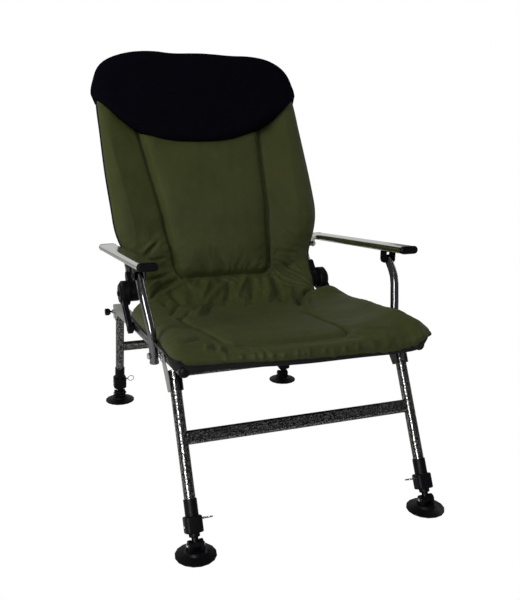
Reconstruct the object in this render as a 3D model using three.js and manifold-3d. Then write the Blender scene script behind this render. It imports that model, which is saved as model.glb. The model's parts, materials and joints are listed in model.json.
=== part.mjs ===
// A folding carp fishing chair, in millimetres.
// +X is the viewer's right, the chair faces -Y and +Z is up. While it is built, y runs back from the
// front foot pins and z up from the floor. The finished group is then centred over its own box.

import * as THREE from 'three';
import { mergeVertices } from 'three/addons/utils/BufferGeometryUtils.js';
import Module from 'manifold-3d';

const wasm = await Module();
wasm.setup();

const degree = Math.PI / 180;
const sides = [-1, 1];
const sideName = (side) => (side < 0 ? 'left' : 'right');

// Clearances
const fit = 0.3; // running and seating clearance between any two pieces
const overrun = 6; // how far a cutter runs past what it cuts
const softGap = 0.6; // padding to the tube that it lies on

// Facets
const tubeFacets = 12;
const boltFacets = 10;
const holeFacets = 6;
const roomFacets = 8;
const discFacets = 16;
const knobFacets = 12;
const earSegments = 5; // per round end of a plate
const hubSegments = 8;
const bendRings = 3; // rings in each bend of a tube

// Stance
const wheelbase = 882; // front foot pin to rear foot pin
const legSpread = 275; // middle of the chair to each leg and each seat rail
const pinHeight = 24; // foot pin above the floor
const frontLean = 26.5 * degree; // front legs run back as they rise
const rearLean = 13 * degree; // rear legs run forward as they rise

// Round tube of the legs and the seat
const tubeRadius = 12.5;
const tubeBoreRadius = 10.9;
const wall = tubeRadius - tubeBoreRadius;

// Flat oval crossbars of the legs
const crossbarHeight = 30;
const crossbarThickness = 15;
const frontCrossbarAt = 217; // along the leg from the foot pin
const rearCrossbarAt = 168;

// Mud feet
const footRadius = 44;
const footRimHeight = 3;
const footDomeHeight = 9;
const footDomeRadius = 25;
const footSocketRadius = 21;
const footSocketHeight = 14;
const footHollowHeight = 3;
const footRimWidth = 6;
const earRadius = 11;
const earThickness = 7.5;
const footPinRadius = 3;
const footPinHeadRadius = 4.5;
const footPinHeadHeight = 1.8;

// Leg extensions: knuckle, neck, collar and a drilled inner tube
const knuckleRadius = 9;
const knuckleHalfWidth = 8.2;
const neckRadius = 7.5;
const collarRadius = 12;
const collarBottom = 15.6; // along the leg from the foot pin
const collarTop = 23.7;
const collarChamfer = 1.5;
const innerTubeRadius = 10.5;
const innerTubeBoreRadius = 8.6;
const innerTubeTop = 176;
const pinHoleRadius = 3;
const pinHolePitch = 22.5;
const pinHoleCount = 5;

// Leg sleeves
const sleeveRadius = 14.6;
const sleeveTop = 92.7;
const sleeveBlockTop = 58;
const sleeveBlockWidth = 38;
const sleeveBlockDepth = 34;
const sleeveBlockCorner = 9;
const sleeveBevel = 2;
const sleeveLedge = 3; // plastic below the end of the leg tube

// Pull pins
const pullPinAt = 50; // along the leg from the foot pin
const pullPinRadius = 2.5;
const pullPinStem = 7; // stem that stands out of the sleeve block
const pullPinGap = 1.6; // nose to the inner tube
const pullRingRadius = 9;
const pullRingWire = 1.3;
const pullRingFacets = 14;
const pullRingWireFacets = 5;

// Legs
const frontLegTop = 363.5; // along the leg from the foot pin, cap included
const rearLegTop = 300;
const legCapHeight = 6;
const legCapPlug = 8; // cap inside the tube
const legCapRadius = 12.4;
const legCapChamfer = 1.6;

// Seat rails and bars
const postY = 231.5; // post bolt, behind the front foot pins
const railHeight = 362; // rail centre at the post bolt
const railSlope = 0.089; // fall to the rear
const railFrontY = 71;
const railRearY = 655;
const frontBarY = 85;
const rearBarY = 600;
const rearBarRadius = 11;

// Bolts
const boltRadius = 4;
const boltHeadRadius = 7.5;
const boltHeadHeight = 4;
const boltHeadChamfer = 1.5;

// Pressed brackets on the front legs
const frontPivotY = 200;
const sheet = 2; // pressed sheet thickness
const frontEarRadius = 11.8;
const frontBracketBottom = 318; // along the leg from the foot pin
const frontBracketWebTop = 350;
const frontBracketReach = 10; // ear in front of the leg's axis

// Rear channels
const channelFrontY = 560;
const channelRearY = 850;
const channelDrop = 8; // flange below the rail's axis
const channelEarStartY = 775;
const rearPivotAt = 276; // along the rear leg from the foot pin
const rearEarRadius = 14;
const rivetYs = [576, 612];
const rivetRadius = 4;
const rivetHeight = 1.6;

// Rear leg lock plungers
const plungerAt = 291; // along the rear leg from the foot pin
const plungerRadius = 3;
const plungerBossRadius = 6.5;
const plungerBossLength = 8;
const plungerShaft = 6; // shaft that shows between boss and knob
const knobRadius = 10.5;
const knobWaistRadius = 7;
const knobLength = 15;
const knobLobes = 6;
const knobGrooveRadius = 3.2;

// Recline hubs
const hubY = 638.5;
const hubHeight = 406;
const hubSplit = 279; // plane between the two halves, from the middle of the chair
const hubOuterWidth = 27;
const hubInnerWidth = 25.7;
const hubOuterRadius = 34;
const hubOuterFaceRadius = 24;
const hubChamferWidth = 8;
const hubInnerRadius = 24;
const hubGrooveRadius = 28; // ring groove in the outer face
const hubGrooveWidth = 2.4;
const hubGrooveDepth = 1.6;
const hubArmY = 540; // pad on the seat rail
const hubArmHalfWidth = 13;
const hubArmThickness = 12;
const hubArmGap = 3; // spacer between rail and arm
const hubArmRecess = 1.8;
const hubArmRecessRun = [0.2, 0.6]; // shares of the way from pad to hub
const hubSpacerRadius = 9;
const hubSocketNear = 34; // tube end in its socket, from the hub's axis
const hubSocketFar = 66;
const hubSocketHalfWidth = 14.4;

// Back frame
const backTubeRadius = 11;
const backTubeX = 266; // at the hub
const backBend = 74; // hub to the lumbar bend, both back and up
const lumbarTopX = 272;
const lumbarTopY = 722.5;
const lumbarTopHeight = 612;
const backSlope = 0.63; // y gained per z above the lumbar
const backTopHeight = 1024; // tube centre of the bow
const bowCornerX = 255;
const bowFlatX = 110; // the bow runs level inside this
const bowDrop = 66; // bow corner below the middle of the bow
const backBendEase = 30;

// Armrests
const armX = 316;
const armWidth = 46;
const armThickness = 18;
const armFrontY = 198;
const armRearY = 739;
const armFrontHeight = 569; // centre of the front end
const armSlope = 0.0983; // fall to the rear
const armCapLength = 11;
const armCapLip = 0.6;
const armCapBevel = 3;
const armPivotHeight = 497; // bolt on the back tube
const armLugX = 296;
const armLugThickness = 4;
const armLugRadius = 9.5;

// Posts and their brackets
const postRadius = 10;
const postFootX = 301;
const postEnd = 18; // tube below its bolt
const postTopY = 299.5;
const postTopDrop = 29; // top bolt below the armrest's middle
const postTopReach = 4.5; // tube above the top bolt
const postCapHeight = 5;
const postCapLip = 0.7;
const postFacets = 12;
const postBracketSlack = 1.4; // post to ear
const postBracketLength = 30;
const postBracketEarBelow = 10; // ear below the top bolt
const postBoltHeadRadius = 5.5;
const postLowBend = { splay: 0.2, lean: 0.02, rise: 0.3 };
const postHighBend = { lean: 0.45, rise: 0.78 };

// Cover and headrest
const seatHalfWidth = 298;
const seatRearY = 556;
const seatTop = 22; // padding above its middle sheet
const seatBottom = 22;
const seatSheetShare = 0.94; // its middle sheet is at least this share of seatBottom above the rails
const seatRiseShare = 0.95; // past this share of its run the seat rises into the waist
const seatSeamDepth = 7;
const crownPower = 5; // how square a pad's section is
const backHalfWidth = 304;
const backPadTop = 22;
const backPadBottom = 20;
const backSeamDepth = 7;
const waistHalfWidth = 243;
const waistPad = 15;
const waistTop = 0.55; // shares of the waist's padding at its ends
const waistBottom = 0.45;
const waistSwell = 0.3; // what it gains in the middle
const headrestWrap = 12; // headrest over the cover's edges
const headrestHalfWidth = 317;
const smileDepth = 118; // sides of the headrest's lower edge above its middle
const smilePower = 3.2; // how flat the middle of that edge is
const smileSteps = 16;
const headrestEndPad = 0.45; // shares of padding and width at its top
const headrestEndHalf = 0.9;
const headrestLow = 800; // lower edge in the middle

// Places that follow
const railZ = (y) => railHeight - railSlope * (y - postY);
const railAngle = Math.atan(railSlope);
const frontPivot = [frontPivotY, railZ(frontPivotY)];
const rearPivot = [
  wheelbase - Math.sin(rearLean) * rearPivotAt,
  pinHeight + Math.cos(rearLean) * rearPivotAt,
];
const plunger = [
  wheelbase - Math.sin(rearLean) * plungerAt,
  pinHeight + Math.cos(rearLean) * plungerAt,
];
const hub = [hubY, hubHeight];
const armPivotY = hubY + backBend
  + (lumbarTopY - hubY - backBend) * (armPivotHeight - hubHeight - backBend)
  / (lumbarTopHeight - hubHeight - backBend);
const armPivot = [armPivotY, armPivotHeight];
const postFoot = [postY, railHeight];
const armAngle = Math.atan(armSlope);
const armZ = (y) => armFrontHeight - armSlope * (y - armFrontY);
const postTop = [postTopY, armZ(postTopY) - postTopDrop];
const lowered = (y, offset) => [y + offset * Math.sin(railAngle), railZ(y) + offset * Math.cos(railAngle)];

// Materials
const paint = (color, roughness, metalness) => (
  new THREE.MeshStandardMaterial({ color, roughness, metalness })
);
const hammertone = paint(0x3a3c3c, 0.4, 0.7);
const greySteel = paint(0x85857d, 0.45, 0.7);
const paleGrey = paint(0xaaa89b, 0.45, 0.5);
const blackPlastic = paint(0x161618, 0.5, 0);
const zinc = paint(0xb8b8b8, 0.3, 1);
const greenCloth = paint(0x3f4425, 0.9, 0);
const blackFleece = paint(0x0c0c0e, 1, 0);

// Solids

// A closed mesh becomes a solid once its shared vertices are merged.
function solidOf(geometry) {
  const bare = new THREE.BufferGeometry();
  bare.setAttribute('position', geometry.getAttribute('position'));
  if (geometry.index) bare.setIndex(geometry.index);
  const welded = mergeVertices(bare);
  const spots = welded.getAttribute('position');
  const corners = welded.index.array;
  const kept = [];
  let volume = 0;
  const a = new THREE.Vector3();
  const b = new THREE.Vector3();
  const c = new THREE.Vector3();
  for (let i = 0; i < corners.length; i += 3) {
    const [p, q, r] = [corners[i], corners[i + 1], corners[i + 2]];
    if (p === q || q === r || r === p) continue;
    kept.push(p, q, r);
    a.fromBufferAttribute(spots, p);
    b.fromBufferAttribute(spots, q);
    c.fromBufferAttribute(spots, r);
    volume += a.dot(b.cross(c));
  }
  if (volume < 0) kept.reverse();
  return new wasm.Manifold(new wasm.Mesh({
    numProp: 3,
    vertProperties: new Float32Array(spots.array),
    triVerts: new Uint32Array(kept),
  }));
}

const join = (...solids) => solids.reduce((whole, next) => whole.add(next));
const cut = (body, ...tools) => tools.reduce((rest, tool) => rest.subtract(tool), body);

function meshOf(name, solid, material) {
  const { vertProperties, triVerts } = solid.getMesh();
  const geometry = new THREE.BufferGeometry();
  geometry.setAttribute('position', new THREE.BufferAttribute(new Float32Array(vertProperties), 3));
  geometry.setIndex(new THREE.BufferAttribute(new Uint32Array(triVerts), 1));
  geometry.computeVertexNormals();
  const mesh = new THREE.Mesh(geometry, material);
  mesh.name = name;
  return mesh;
}

// A round bar across the chair, from one x to the other.
function rodX(radius, fromX, toX, [y, z], facets = tubeFacets) {
  const bar = new THREE.CylinderGeometry(radius, radius, Math.abs(toX - fromX), facets);
  return solidOf(bar.rotateZ(Math.PI / 2).translate((fromX + toX) / 2, y, z));
}

// A round bar between two points.
function rodBetween(from, to, radius, facets = tubeFacets) {
  const along = new THREE.Vector3().subVectors(to, from);
  const bar = new THREE.CylinderGeometry(radius, radius, along.length(), facets);
  const up = new THREE.Vector3(0, 1, 0);
  bar.applyQuaternion(new THREE.Quaternion().setFromUnitVectors(up, along.clone().normalize()));
  const middle = new THREE.Vector3().addVectors(from, to).divideScalar(2);
  return solidOf(bar.translate(middle.x, middle.y, middle.z));
}

// A body turned about +Z from a profile of [radius, height] points.
function turned(profile, facets = tubeFacets) {
  const points = profile.map(([radius, height]) => new THREE.Vector2(radius, height));
  return solidOf(new THREE.LatheGeometry(points, facets).rotateX(Math.PI / 2));
}

// The same about the X axis through a [y, z] place; heights in the profile are x, outwards on either side.
function turnedX(profile, side, [y, z], facets = tubeFacets) {
  const points = profile.map(([radius, x]) => new THREE.Vector2(radius, side * x));
  return solidOf(new THREE.LatheGeometry(points, facets).rotateZ(-Math.PI / 2).translate(0, y, z));
}

// A side view outline, drawn in y and z, as a plate between two x.
function plateX(shape, fromX, toX, curveSegments = earSegments) {
  const depth = Math.abs(toX - fromX);
  const geometry = new THREE.ExtrudeGeometry(shape, { depth, bevelEnabled: false, curveSegments });
  const turn = new THREE.Matrix4().makeBasis(
    new THREE.Vector3(0, 1, 0),
    new THREE.Vector3(0, 0, 1),
    new THREE.Vector3(1, 0, 0),
  );
  return solidOf(geometry.applyMatrix4(turn).translate(Math.min(fromX, toX), 0, 0));
}

const outline = (points) => new THREE.Shape(points.map(([y, z]) => new THREE.Vector2(y, z)));

// A strap with two round ends, seen from the side.
function strap([y0, z0], [y1, z1], radius) {
  const angle = Math.atan2(z1 - z0, y1 - y0);
  const shape = new THREE.Shape();
  shape.absarc(y1, z1, radius, angle - Math.PI / 2, angle + Math.PI / 2, false);
  shape.absarc(y0, z0, radius, angle + Math.PI / 2, angle + 3 * Math.PI / 2, false);
  shape.closePath();
  return shape;
}

// A flat oval outline, wide along the first axis.
function oval(width, thickness) {
  const radius = thickness / 2;
  const reach = width / 2 - radius;
  const shape = new THREE.Shape();
  shape.absarc(reach, 0, radius, -Math.PI / 2, Math.PI / 2, false);
  shape.absarc(-reach, 0, radius, Math.PI / 2, 3 * Math.PI / 2, false);
  shape.closePath();
  return shape;
}

function roundedBox(width, depth, corner) {
  const [w, d] = [width / 2, depth / 2];
  const shape = new THREE.Shape();
  shape.moveTo(-w + corner, -d);
  shape.lineTo(w - corner, -d);
  shape.absarc(w - corner, -d + corner, corner, -Math.PI / 2, 0, false);
  shape.absarc(w - corner, d - corner, corner, 0, Math.PI / 2, false);
  shape.absarc(-w + corner, d - corner, corner, Math.PI / 2, Math.PI, false);
  shape.absarc(-w + corner, -d + corner, corner, Math.PI, 3 * Math.PI / 2, false);
  shape.closePath();
  return shape;
}

const bendShare = 0.45; // most of a straight stretch that one bend takes up

// A tube along straight stretches with eased corners. Rings stand only where the path starts, bends and ends.
function bentTube(points, ease, radius, facets) {
  const corners = points.map((p) => new THREE.Vector3(...p));
  const spots = [corners[0]];
  for (let i = 1; i < corners.length - 1; i += 1) {
    const back = new THREE.Vector3().subVectors(corners[i - 1], corners[i]);
    const ahead = new THREE.Vector3().subVectors(corners[i + 1], corners[i]);
    const reach = Math.min(ease, back.length() * bendShare, ahead.length() * bendShare);
    const enter = corners[i].clone().addScaledVector(back.normalize(), reach);
    const leave = corners[i].clone().addScaledVector(ahead.normalize(), reach);
    const bend = new THREE.QuadraticBezierCurve3(enter, corners[i], leave);
    for (let k = 0; k < bendRings; k += 1) spots.push(bend.getPoint(k / (bendRings - 1)));
  }
  spots.push(corners[corners.length - 1]);
  const direction = (i) => {
    const before = spots[Math.max(i - 1, 0)];
    const after = spots[Math.min(i + 1, spots.length - 1)];
    return new THREE.Vector3().subVectors(after, before).normalize();
  };
  const positions = [];
  const u = new THREE.Vector3(0, 1, 0);
  const v = new THREE.Vector3();
  spots.forEach((spot, i) => {
    const along = direction(i);
    u.addScaledVector(along, -u.dot(along)).normalize();
    v.crossVectors(along, u);
    for (let k = 0; k < facets; k += 1) {
      const angle = 2 * Math.PI * k / facets;
      const place = spot.clone().addScaledVector(u, radius * Math.cos(angle));
      place.addScaledVector(v, radius * Math.sin(angle));
      positions.push(...place.toArray());
    }
  });
  return ringSolid(positions, facets, spots.length, spots[0].toArray(), spots[spots.length - 1].toArray());
}

// Rings of points, one after the other, closed with a fan at each end.
function ringSolid(positions, count, rings, startMiddle, endMiddle) {
  const index = [];
  for (let row = 0; row < rings - 1; row += 1) {
    for (let i = 0; i < count; i += 1) {
      const [a, b] = [row * count + i, row * count + (i + 1) % count];
      index.push(a, b, b + count, a, b + count, a + count);
    }
  }
  const start = positions.length / 3;
  const lastRow = (rings - 1) * count;
  for (let i = 0; i < count; i += 1) {
    index.push((i + 1) % count, i, start);
    index.push(lastRow + i, lastRow + (i + 1) % count, start + 1);
  }
  const corners = [...positions, ...startMiddle, ...endMiddle];
  const geometry = new THREE.BufferGeometry();
  geometry.setAttribute('position', new THREE.Float32BufferAttribute(corners, 3));
  geometry.setIndex(index);
  return solidOf(geometry);
}

// A bolt across the chair; its head is on the outer side, its nut on the inner side.
function bolt(side, innerX, outerX, place, radius = boltRadius, headRadius = boltHeadRadius) {
  return turnedX([
    [0, innerX - boltHeadHeight],
    [headRadius, innerX - boltHeadHeight],
    [headRadius, innerX],
    [radius, innerX],
    [radius, outerX],
    [headRadius, outerX],
    [headRadius, outerX + boltHeadHeight - boltHeadChamfer],
    [headRadius - boltHeadChamfer, outerX + boltHeadHeight],
    [0, outerX + boltHeadHeight],
  ], side, place, boltFacets);
}

const boreX = (fromX, toX, place, radius = boltRadius) => rodX(radius + fit, fromX, toX, place, boltFacets);

// Feet and legs, each in a frame that stands on its foot pin with z along the leg

function mudFoot() {
  const floor = -pinHeight;
  const dish = turned([
    [0, floor + footHollowHeight],
    [footRadius - 2 * footRimWidth, floor + footHollowHeight],
    [footRadius - footRimWidth, floor],
    [footRadius, floor],
    [footRadius, floor + footRimHeight],
    [footDomeRadius, floor + footDomeHeight],
    [footSocketRadius, floor + footSocketHeight],
    [0, floor + footSocketHeight],
  ], discFacets);
  const inner = knuckleHalfWidth + fit;
  const outer = inner + earThickness;
  const ears = join(...sides.map((side) => plateX(
    strap([0, floor + footDomeHeight], [0, 0], earRadius),
    side * inner,
    side * outer,
  )));
  const belowFloor = plateX(
    outline([
      [-footRadius, floor - footRadius],
      [footRadius, floor - footRadius],
      [footRadius, floor + footHollowHeight],
      [-footRadius, floor + footHollowHeight],
    ]),
    -outer - overrun,
    outer + overrun,
  );
  const seat = rodX(knuckleRadius + fit + fit, -inner, inner, [0, 0]);
  const pin = turnedX([
    [0, -outer - footPinHeadHeight],
    [footPinHeadRadius, -outer - footPinHeadHeight],
    [footPinHeadRadius, -outer],
    [footPinRadius, -outer],
    [footPinRadius, outer],
    [footPinHeadRadius, outer],
    [footPinHeadRadius, outer + footPinHeadHeight],
    [0, outer + footPinHeadHeight],
  ], 1, [0, 0], boltFacets);
  return join(cut(join(dish, cut(ears, belowFloor)), seat), pin);
}

function legExtension(side) {
  const stem = turned([
    [0, 0],
    [neckRadius, 0],
    [neckRadius, collarBottom],
    [collarRadius - collarChamfer, collarBottom],
    [collarRadius, collarBottom + collarChamfer],
    [collarRadius, collarTop],
    [innerTubeRadius, collarTop],
    [innerTubeRadius, innerTubeTop],
    [innerTubeBoreRadius, innerTubeTop],
    [innerTubeBoreRadius, collarTop + collarChamfer],
    [0, collarTop + collarChamfer],
  ]);
  const knuckle = rodX(knuckleRadius, -knuckleHalfWidth, knuckleHalfWidth, [0, 0]);
  const holes = [];
  for (let i = 0; i < pinHoleCount; i += 1) {
    const place = [0, pullPinAt + i * pinHolePitch];
    holes.push(rodX(pinHoleRadius, 0, -side * (innerTubeRadius + overrun), place, holeFacets));
  }
  const neckTrim = plateX(
    outline([
      [-neckRadius - overrun, -knuckleRadius],
      [neckRadius + overrun, -knuckleRadius],
      [neckRadius + overrun, 0],
      [-neckRadius - overrun, 0],
    ]),
    knuckleHalfWidth,
    knuckleHalfWidth + overrun,
  );
  return cut(
    join(stem, knuckle),
    neckTrim,
    boreX(-knuckleHalfWidth - overrun, knuckleHalfWidth + overrun, [0, 0], footPinRadius),
    ...holes,
  );
}

function legSleeve(side) {
  const bottom = collarTop + fit;
  const section = roundedBox(
    sleeveBlockWidth - 2 * sleeveBevel,
    sleeveBlockDepth - 2 * sleeveBevel,
    sleeveBlockCorner - sleeveBevel,
  );
  const block = solidOf(new THREE.ExtrudeGeometry(section, {
    depth: sleeveBlockTop - bottom - 2 * sleeveBevel,
    bevelSize: sleeveBevel,
    bevelThickness: sleeveBevel,
    bevelSegments: 1,
    curveSegments: 2,
  }).translate(0, 0, bottom + sleeveBevel));
  const barrel = turned([
    [0, bottom + sleeveLedge],
    [sleeveRadius, bottom + sleeveLedge],
    [sleeveRadius, sleeveTop],
    [0, sleeveTop],
  ]);
  const bore = turned([
    [0, bottom - overrun],
    [innerTubeRadius + fit, bottom - overrun],
    [innerTubeRadius + fit, bottom + sleeveLedge],
    [tubeRadius + fit, bottom + sleeveLedge],
    [tubeRadius + fit, sleeveTop + overrun],
    [0, sleeveTop + overrun],
  ]);
  const pinBore = boreX(0, -side * (sleeveBlockWidth / 2 + overrun), [0, pullPinAt], pullPinRadius);
  return cut(join(block, barrel), bore, pinBore);
}

function pullPin(side, flatRing) {
  const inward = -side;
  const start = innerTubeRadius + pullPinGap;
  const end = sleeveBlockWidth / 2 + pullPinStem;
  const stem = rodX(pullPinRadius, inward * start, inward * end, [0, pullPinAt], boltFacets);
  const ring = new THREE.TorusGeometry(pullRingRadius, pullRingWire, pullRingWireFacets, pullRingFacets);
  ring.rotateX(flatRing ? 0 : Math.PI / 2);
  ring.translate(inward * (end + pullRingRadius - pullRingWire / 2), 0, pullPinAt);
  return join(stem, solidOf(ring));
}

function legTube(side, top, pivotAt) {
  const bottom = collarTop + fit + sleeveLedge + fit;
  const boreTop = top - legCapHeight - legCapPlug;
  const tube = turned([
    [0, boreTop],
    [tubeBoreRadius, boreTop],
    [tubeBoreRadius, bottom],
    [tubeRadius, bottom],
    [tubeRadius, top - legCapHeight],
    [legCapRadius, top - legCapHeight],
    [legCapRadius, top - legCapChamfer],
    [legCapRadius - legCapChamfer, top],
    [0, top],
  ]);
  const pinBore = boreX(0, -side * (tubeRadius + overrun), [0, pullPinAt], pullPinRadius);
  if (!pivotAt) return cut(tube, pinBore);
  return cut(tube, pinBore, boreX(-tubeRadius - overrun, tubeRadius + overrun, [0, pivotAt]));
}

// A flat oval bar between the two legs, coped round their tubes.
function legCrossbar(at) {
  const bar = (inset, overhang) => {
    const shape = oval(crossbarHeight - 2 * inset, crossbarThickness - 2 * inset);
    const depth = 2 * legSpread + 2 * overhang;
    const geometry = new THREE.ExtrudeGeometry(shape, { depth, bevelEnabled: false, curveSegments: 4 });
    geometry.rotateZ(Math.PI / 2).rotateY(Math.PI / 2).rotateX(Math.PI / 2);
    return solidOf(geometry.translate(-legSpread - overhang, 0, at));
  };
  const copes = sides.map((side) => turned([
    [0, at - crossbarHeight],
    [tubeRadius + fit, at - crossbarHeight],
    [tubeRadius + fit, at + crossbarHeight],
    [0, at + crossbarHeight],
  ]).translate([side * legSpread, 0, 0]));
  return cut(bar(0, 0), bar(wall, overrun), ...copes);
}

// The pressed bracket that clasps the front leg and the seat rail.
function frontBracket() {
  const dy = frontPivot[0];
  const dz = frontPivot[1] - pinHeight;
  const pivot = [
    dy * Math.cos(frontLean) - dz * Math.sin(frontLean),
    dy * Math.sin(frontLean) + dz * Math.cos(frontLean),
  ];
  const inner = tubeRadius + fit;
  const outer = inner + sheet;
  const ear = new THREE.Shape();
  ear.moveTo(-frontBracketReach, frontBracketBottom);
  ear.lineTo(outer, frontBracketBottom);
  ear.lineTo(pivot[0] + frontEarRadius, pivot[1] - frontEarRadius / 2);
  ear.absarc(pivot[0], pivot[1], frontEarRadius, -Math.PI / 8, 3 * Math.PI / 4, false);
  ear.lineTo(-frontBracketReach, frontBracketWebTop);
  ear.closePath();
  const reach = pivot[1] + 2 * frontEarRadius;
  const hollow = plateX(outline([
    [-frontBracketReach - overrun, frontBracketBottom - overrun],
    [inner, frontBracketBottom - overrun],
    [inner, frontBracketWebTop],
    [pivot[0] + 2 * frontEarRadius, frontBracketWebTop],
    [pivot[0] + 2 * frontEarRadius, reach],
    [-frontBracketReach - overrun, reach],
  ]), -inner, inner);
  return cut(plateX(ear, -outer, outer), hollow, boreX(-outer - overrun, outer + overrun, pivot));
}

// Seat frame

function seatRail(side) {
  const x = side * legSpread;
  const along = (radius, extra) => rodBetween(
    new THREE.Vector3(x, railFrontY - extra, railZ(railFrontY - extra)),
    new THREE.Vector3(x, railRearY + extra, railZ(railRearY + extra)),
    radius,
  );
  const across = (place) => boreX(x - tubeRadius - overrun, x + tubeRadius + overrun, place);
  return cut(along(tubeRadius, 0), along(tubeBoreRadius, overrun), across(frontPivot), across(postFoot));
}

// A round bar between the seat rails, coped round them.
function seatBar(y, radius) {
  const bar = rodX(radius, -legSpread, legSpread, [y, railZ(y)]);
  const bore = rodX(radius - wall, -legSpread - overrun, legSpread + overrun, [y, railZ(y)]);
  const copes = sides.map((side) => rodBetween(
    new THREE.Vector3(side * legSpread, y - 2 * tubeRadius, railZ(y - 2 * tubeRadius)),
    new THREE.Vector3(side * legSpread, y + 2 * tubeRadius, railZ(y + 2 * tubeRadius)),
    tubeRadius + fit,
  ));
  return cut(bar, bore, ...copes);
}

function rearChannel(side) {
  const x = side * legSpread;
  const inner = tubeRadius + fit;
  const outer = inner + sheet;
  const shape = new THREE.Shape();
  shape.moveTo(...lowered(channelFrontY, outer));
  shape.lineTo(...lowered(channelFrontY - outer / 2, 0));
  shape.lineTo(...lowered(channelFrontY, -channelDrop));
  shape.lineTo(...lowered(channelEarStartY, -channelDrop));
  shape.absarc(rearPivot[0], rearPivot[1], rearEarRadius, Math.PI + 1, 2 * Math.PI, false);
  shape.lineTo(...lowered(channelRearY, outer / 2));
  shape.lineTo(...lowered(channelRearY - outer / 2, outer));
  shape.closePath();
  const below = rearPivot[1] - 3 * rearEarRadius;
  const hollow = plateX(outline([
    lowered(channelFrontY - 2 * outer, inner),
    [channelFrontY - 2 * outer, below],
    [channelRearY + 2 * outer, below],
    lowered(channelRearY + 2 * outer, inner),
  ]), x - inner, x + inner);
  const face = side * (legSpread + outer);
  const boss = rodX(plungerBossRadius, face, face + side * plungerBossLength, plunger, boltFacets);
  const bossBore = boreX(x, face + side * (plungerBossLength + overrun), plunger, plungerRadius);
  const rivets = rivetYs.map((y) => rodX(
    rivetRadius,
    face - side * sheet / 2,
    face + side * rivetHeight,
    [y, railZ(y)],
    boltFacets,
  ));
  const pivotBore = boreX(x - outer - overrun, x + outer + overrun, rearPivot);
  const barBore = rodX(rearBarRadius + fit, 0, x, [rearBarY, railZ(rearBarY)]);
  const channel = cut(plateX(shape, x - outer, x + outer), hollow);
  return cut(join(channel, boss, ...rivets), bossBore, pivotBore, barBore);
}

function lockPlunger(side) {
  const inner = tubeRadius + fit;
  const shaftEnd = legSpread + inner + sheet + plungerBossLength + plungerShaft;
  const body = turnedX([
    [0, legSpread + inner],
    [plungerRadius, legSpread + inner],
    [plungerRadius, shaftEnd],
    [knobWaistRadius, shaftEnd],
    [knobRadius, shaftEnd + knobLength / 3],
    [knobRadius, shaftEnd + knobLength - boltHeadChamfer],
    [knobRadius - boltHeadChamfer, shaftEnd + knobLength],
    [0, shaftEnd + knobLength],
  ], side, plunger, knobFacets);
  const grooves = [];
  const grooveAt = knobRadius + knobGrooveRadius / 2;
  const grooveEnd = shaftEnd + knobLength + overrun;
  for (let i = 0; i < knobLobes; i += 1) {
    const angle = 2 * Math.PI * (i + 0.5) / knobLobes;
    const place = [plunger[0] + grooveAt * Math.cos(angle), plunger[1] + grooveAt * Math.sin(angle)];
    grooves.push(rodX(knobGrooveRadius, side * shaftEnd, side * grooveEnd, place, holeFacets));
  }
  return cut(body, ...grooves);
}

// Recline hubs

function hubOuter(side) {
  const inX = hubSplit + fit;
  const outX = hubSplit + hubOuterWidth;
  const cap = turnedX([
    [0, inX],
    [hubOuterRadius - hubGrooveDepth, inX],
    [hubOuterRadius, inX + hubGrooveWidth],
    [hubOuterRadius, outX - hubChamferWidth],
    [hubOuterFaceRadius, outX],
    [0, outX],
  ], side, hub, discFacets);
  const armIn = legSpread + tubeRadius + hubArmGap;
  const armOut = armIn + hubArmThickness;
  const foot = [hubArmY, railZ(hubArmY)];
  const arm = plateX(strap(foot, hub, hubArmHalfWidth), side * armIn, side * armOut, hubSegments);
  const towards = (share) => [foot[0] + (hub[0] - foot[0]) * share, foot[1] + (hub[1] - foot[1]) * share];
  const recess = plateX(
    strap(...hubArmRecessRun.map(towards), hubArmHalfWidth / 2),
    side * (armOut - hubArmRecess),
    side * (armOut + overrun),
  );
  const spacerIn = legSpread + tubeRadius + fit;
  const spacer = rodX(hubSpacerRadius, side * spacerIn, side * (armIn + overrun / 2), foot);
  const headOut = armOut + boltHeadHeight / 2;
  const head = rodX(boltHeadRadius, side * (armOut - overrun / 2), side * headOut, foot, boltFacets);
  const grooveIn = outX - hubChamferWidth;
  const groove = cut(
    rodX(hubGrooveRadius, side * (grooveIn - hubGrooveDepth), side * (outX + overrun), hub, discFacets),
    rodX(
      hubGrooveRadius - hubGrooveWidth,
      side * (grooveIn - overrun),
      side * (outX + 2 * overrun),
      hub,
      discFacets,
    ),
  );
  const bore = boreX(side * (inX - overrun), side * (outX + overrun), hub);
  return cut(join(cut(cap, groove), cut(arm, recess), spacer, head), bore);
}

function hubInner(side) {
  const inX = hubSplit - hubInnerWidth;
  const disc = turnedX([
    [0, inX],
    [hubInnerRadius - hubGrooveWidth, inX],
    [hubInnerRadius, inX + hubGrooveWidth],
    [hubInnerRadius, hubSplit],
    [0, hubSplit],
  ], side, hub, discFacets);
  const out = (distance) => hub.map((value) => value + Math.SQRT1_2 * distance);
  const far = out(hubSocketFar - hubSocketHalfWidth);
  const socket = plateX(strap(hub, far, hubSocketHalfWidth), side * inX, side * hubSplit, hubSegments);
  const along = (distance) => new THREE.Vector3(side * backTubeX, ...out(distance));
  const tubeBore = rodBetween(along(hubSocketNear), along(hubSocketFar + overrun), backTubeRadius + fit);
  const bore = boreX(side * (inX - overrun), side * (hubSplit + overrun), hub);
  return cut(join(disc, socket), tubeBore, bore);
}

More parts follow.
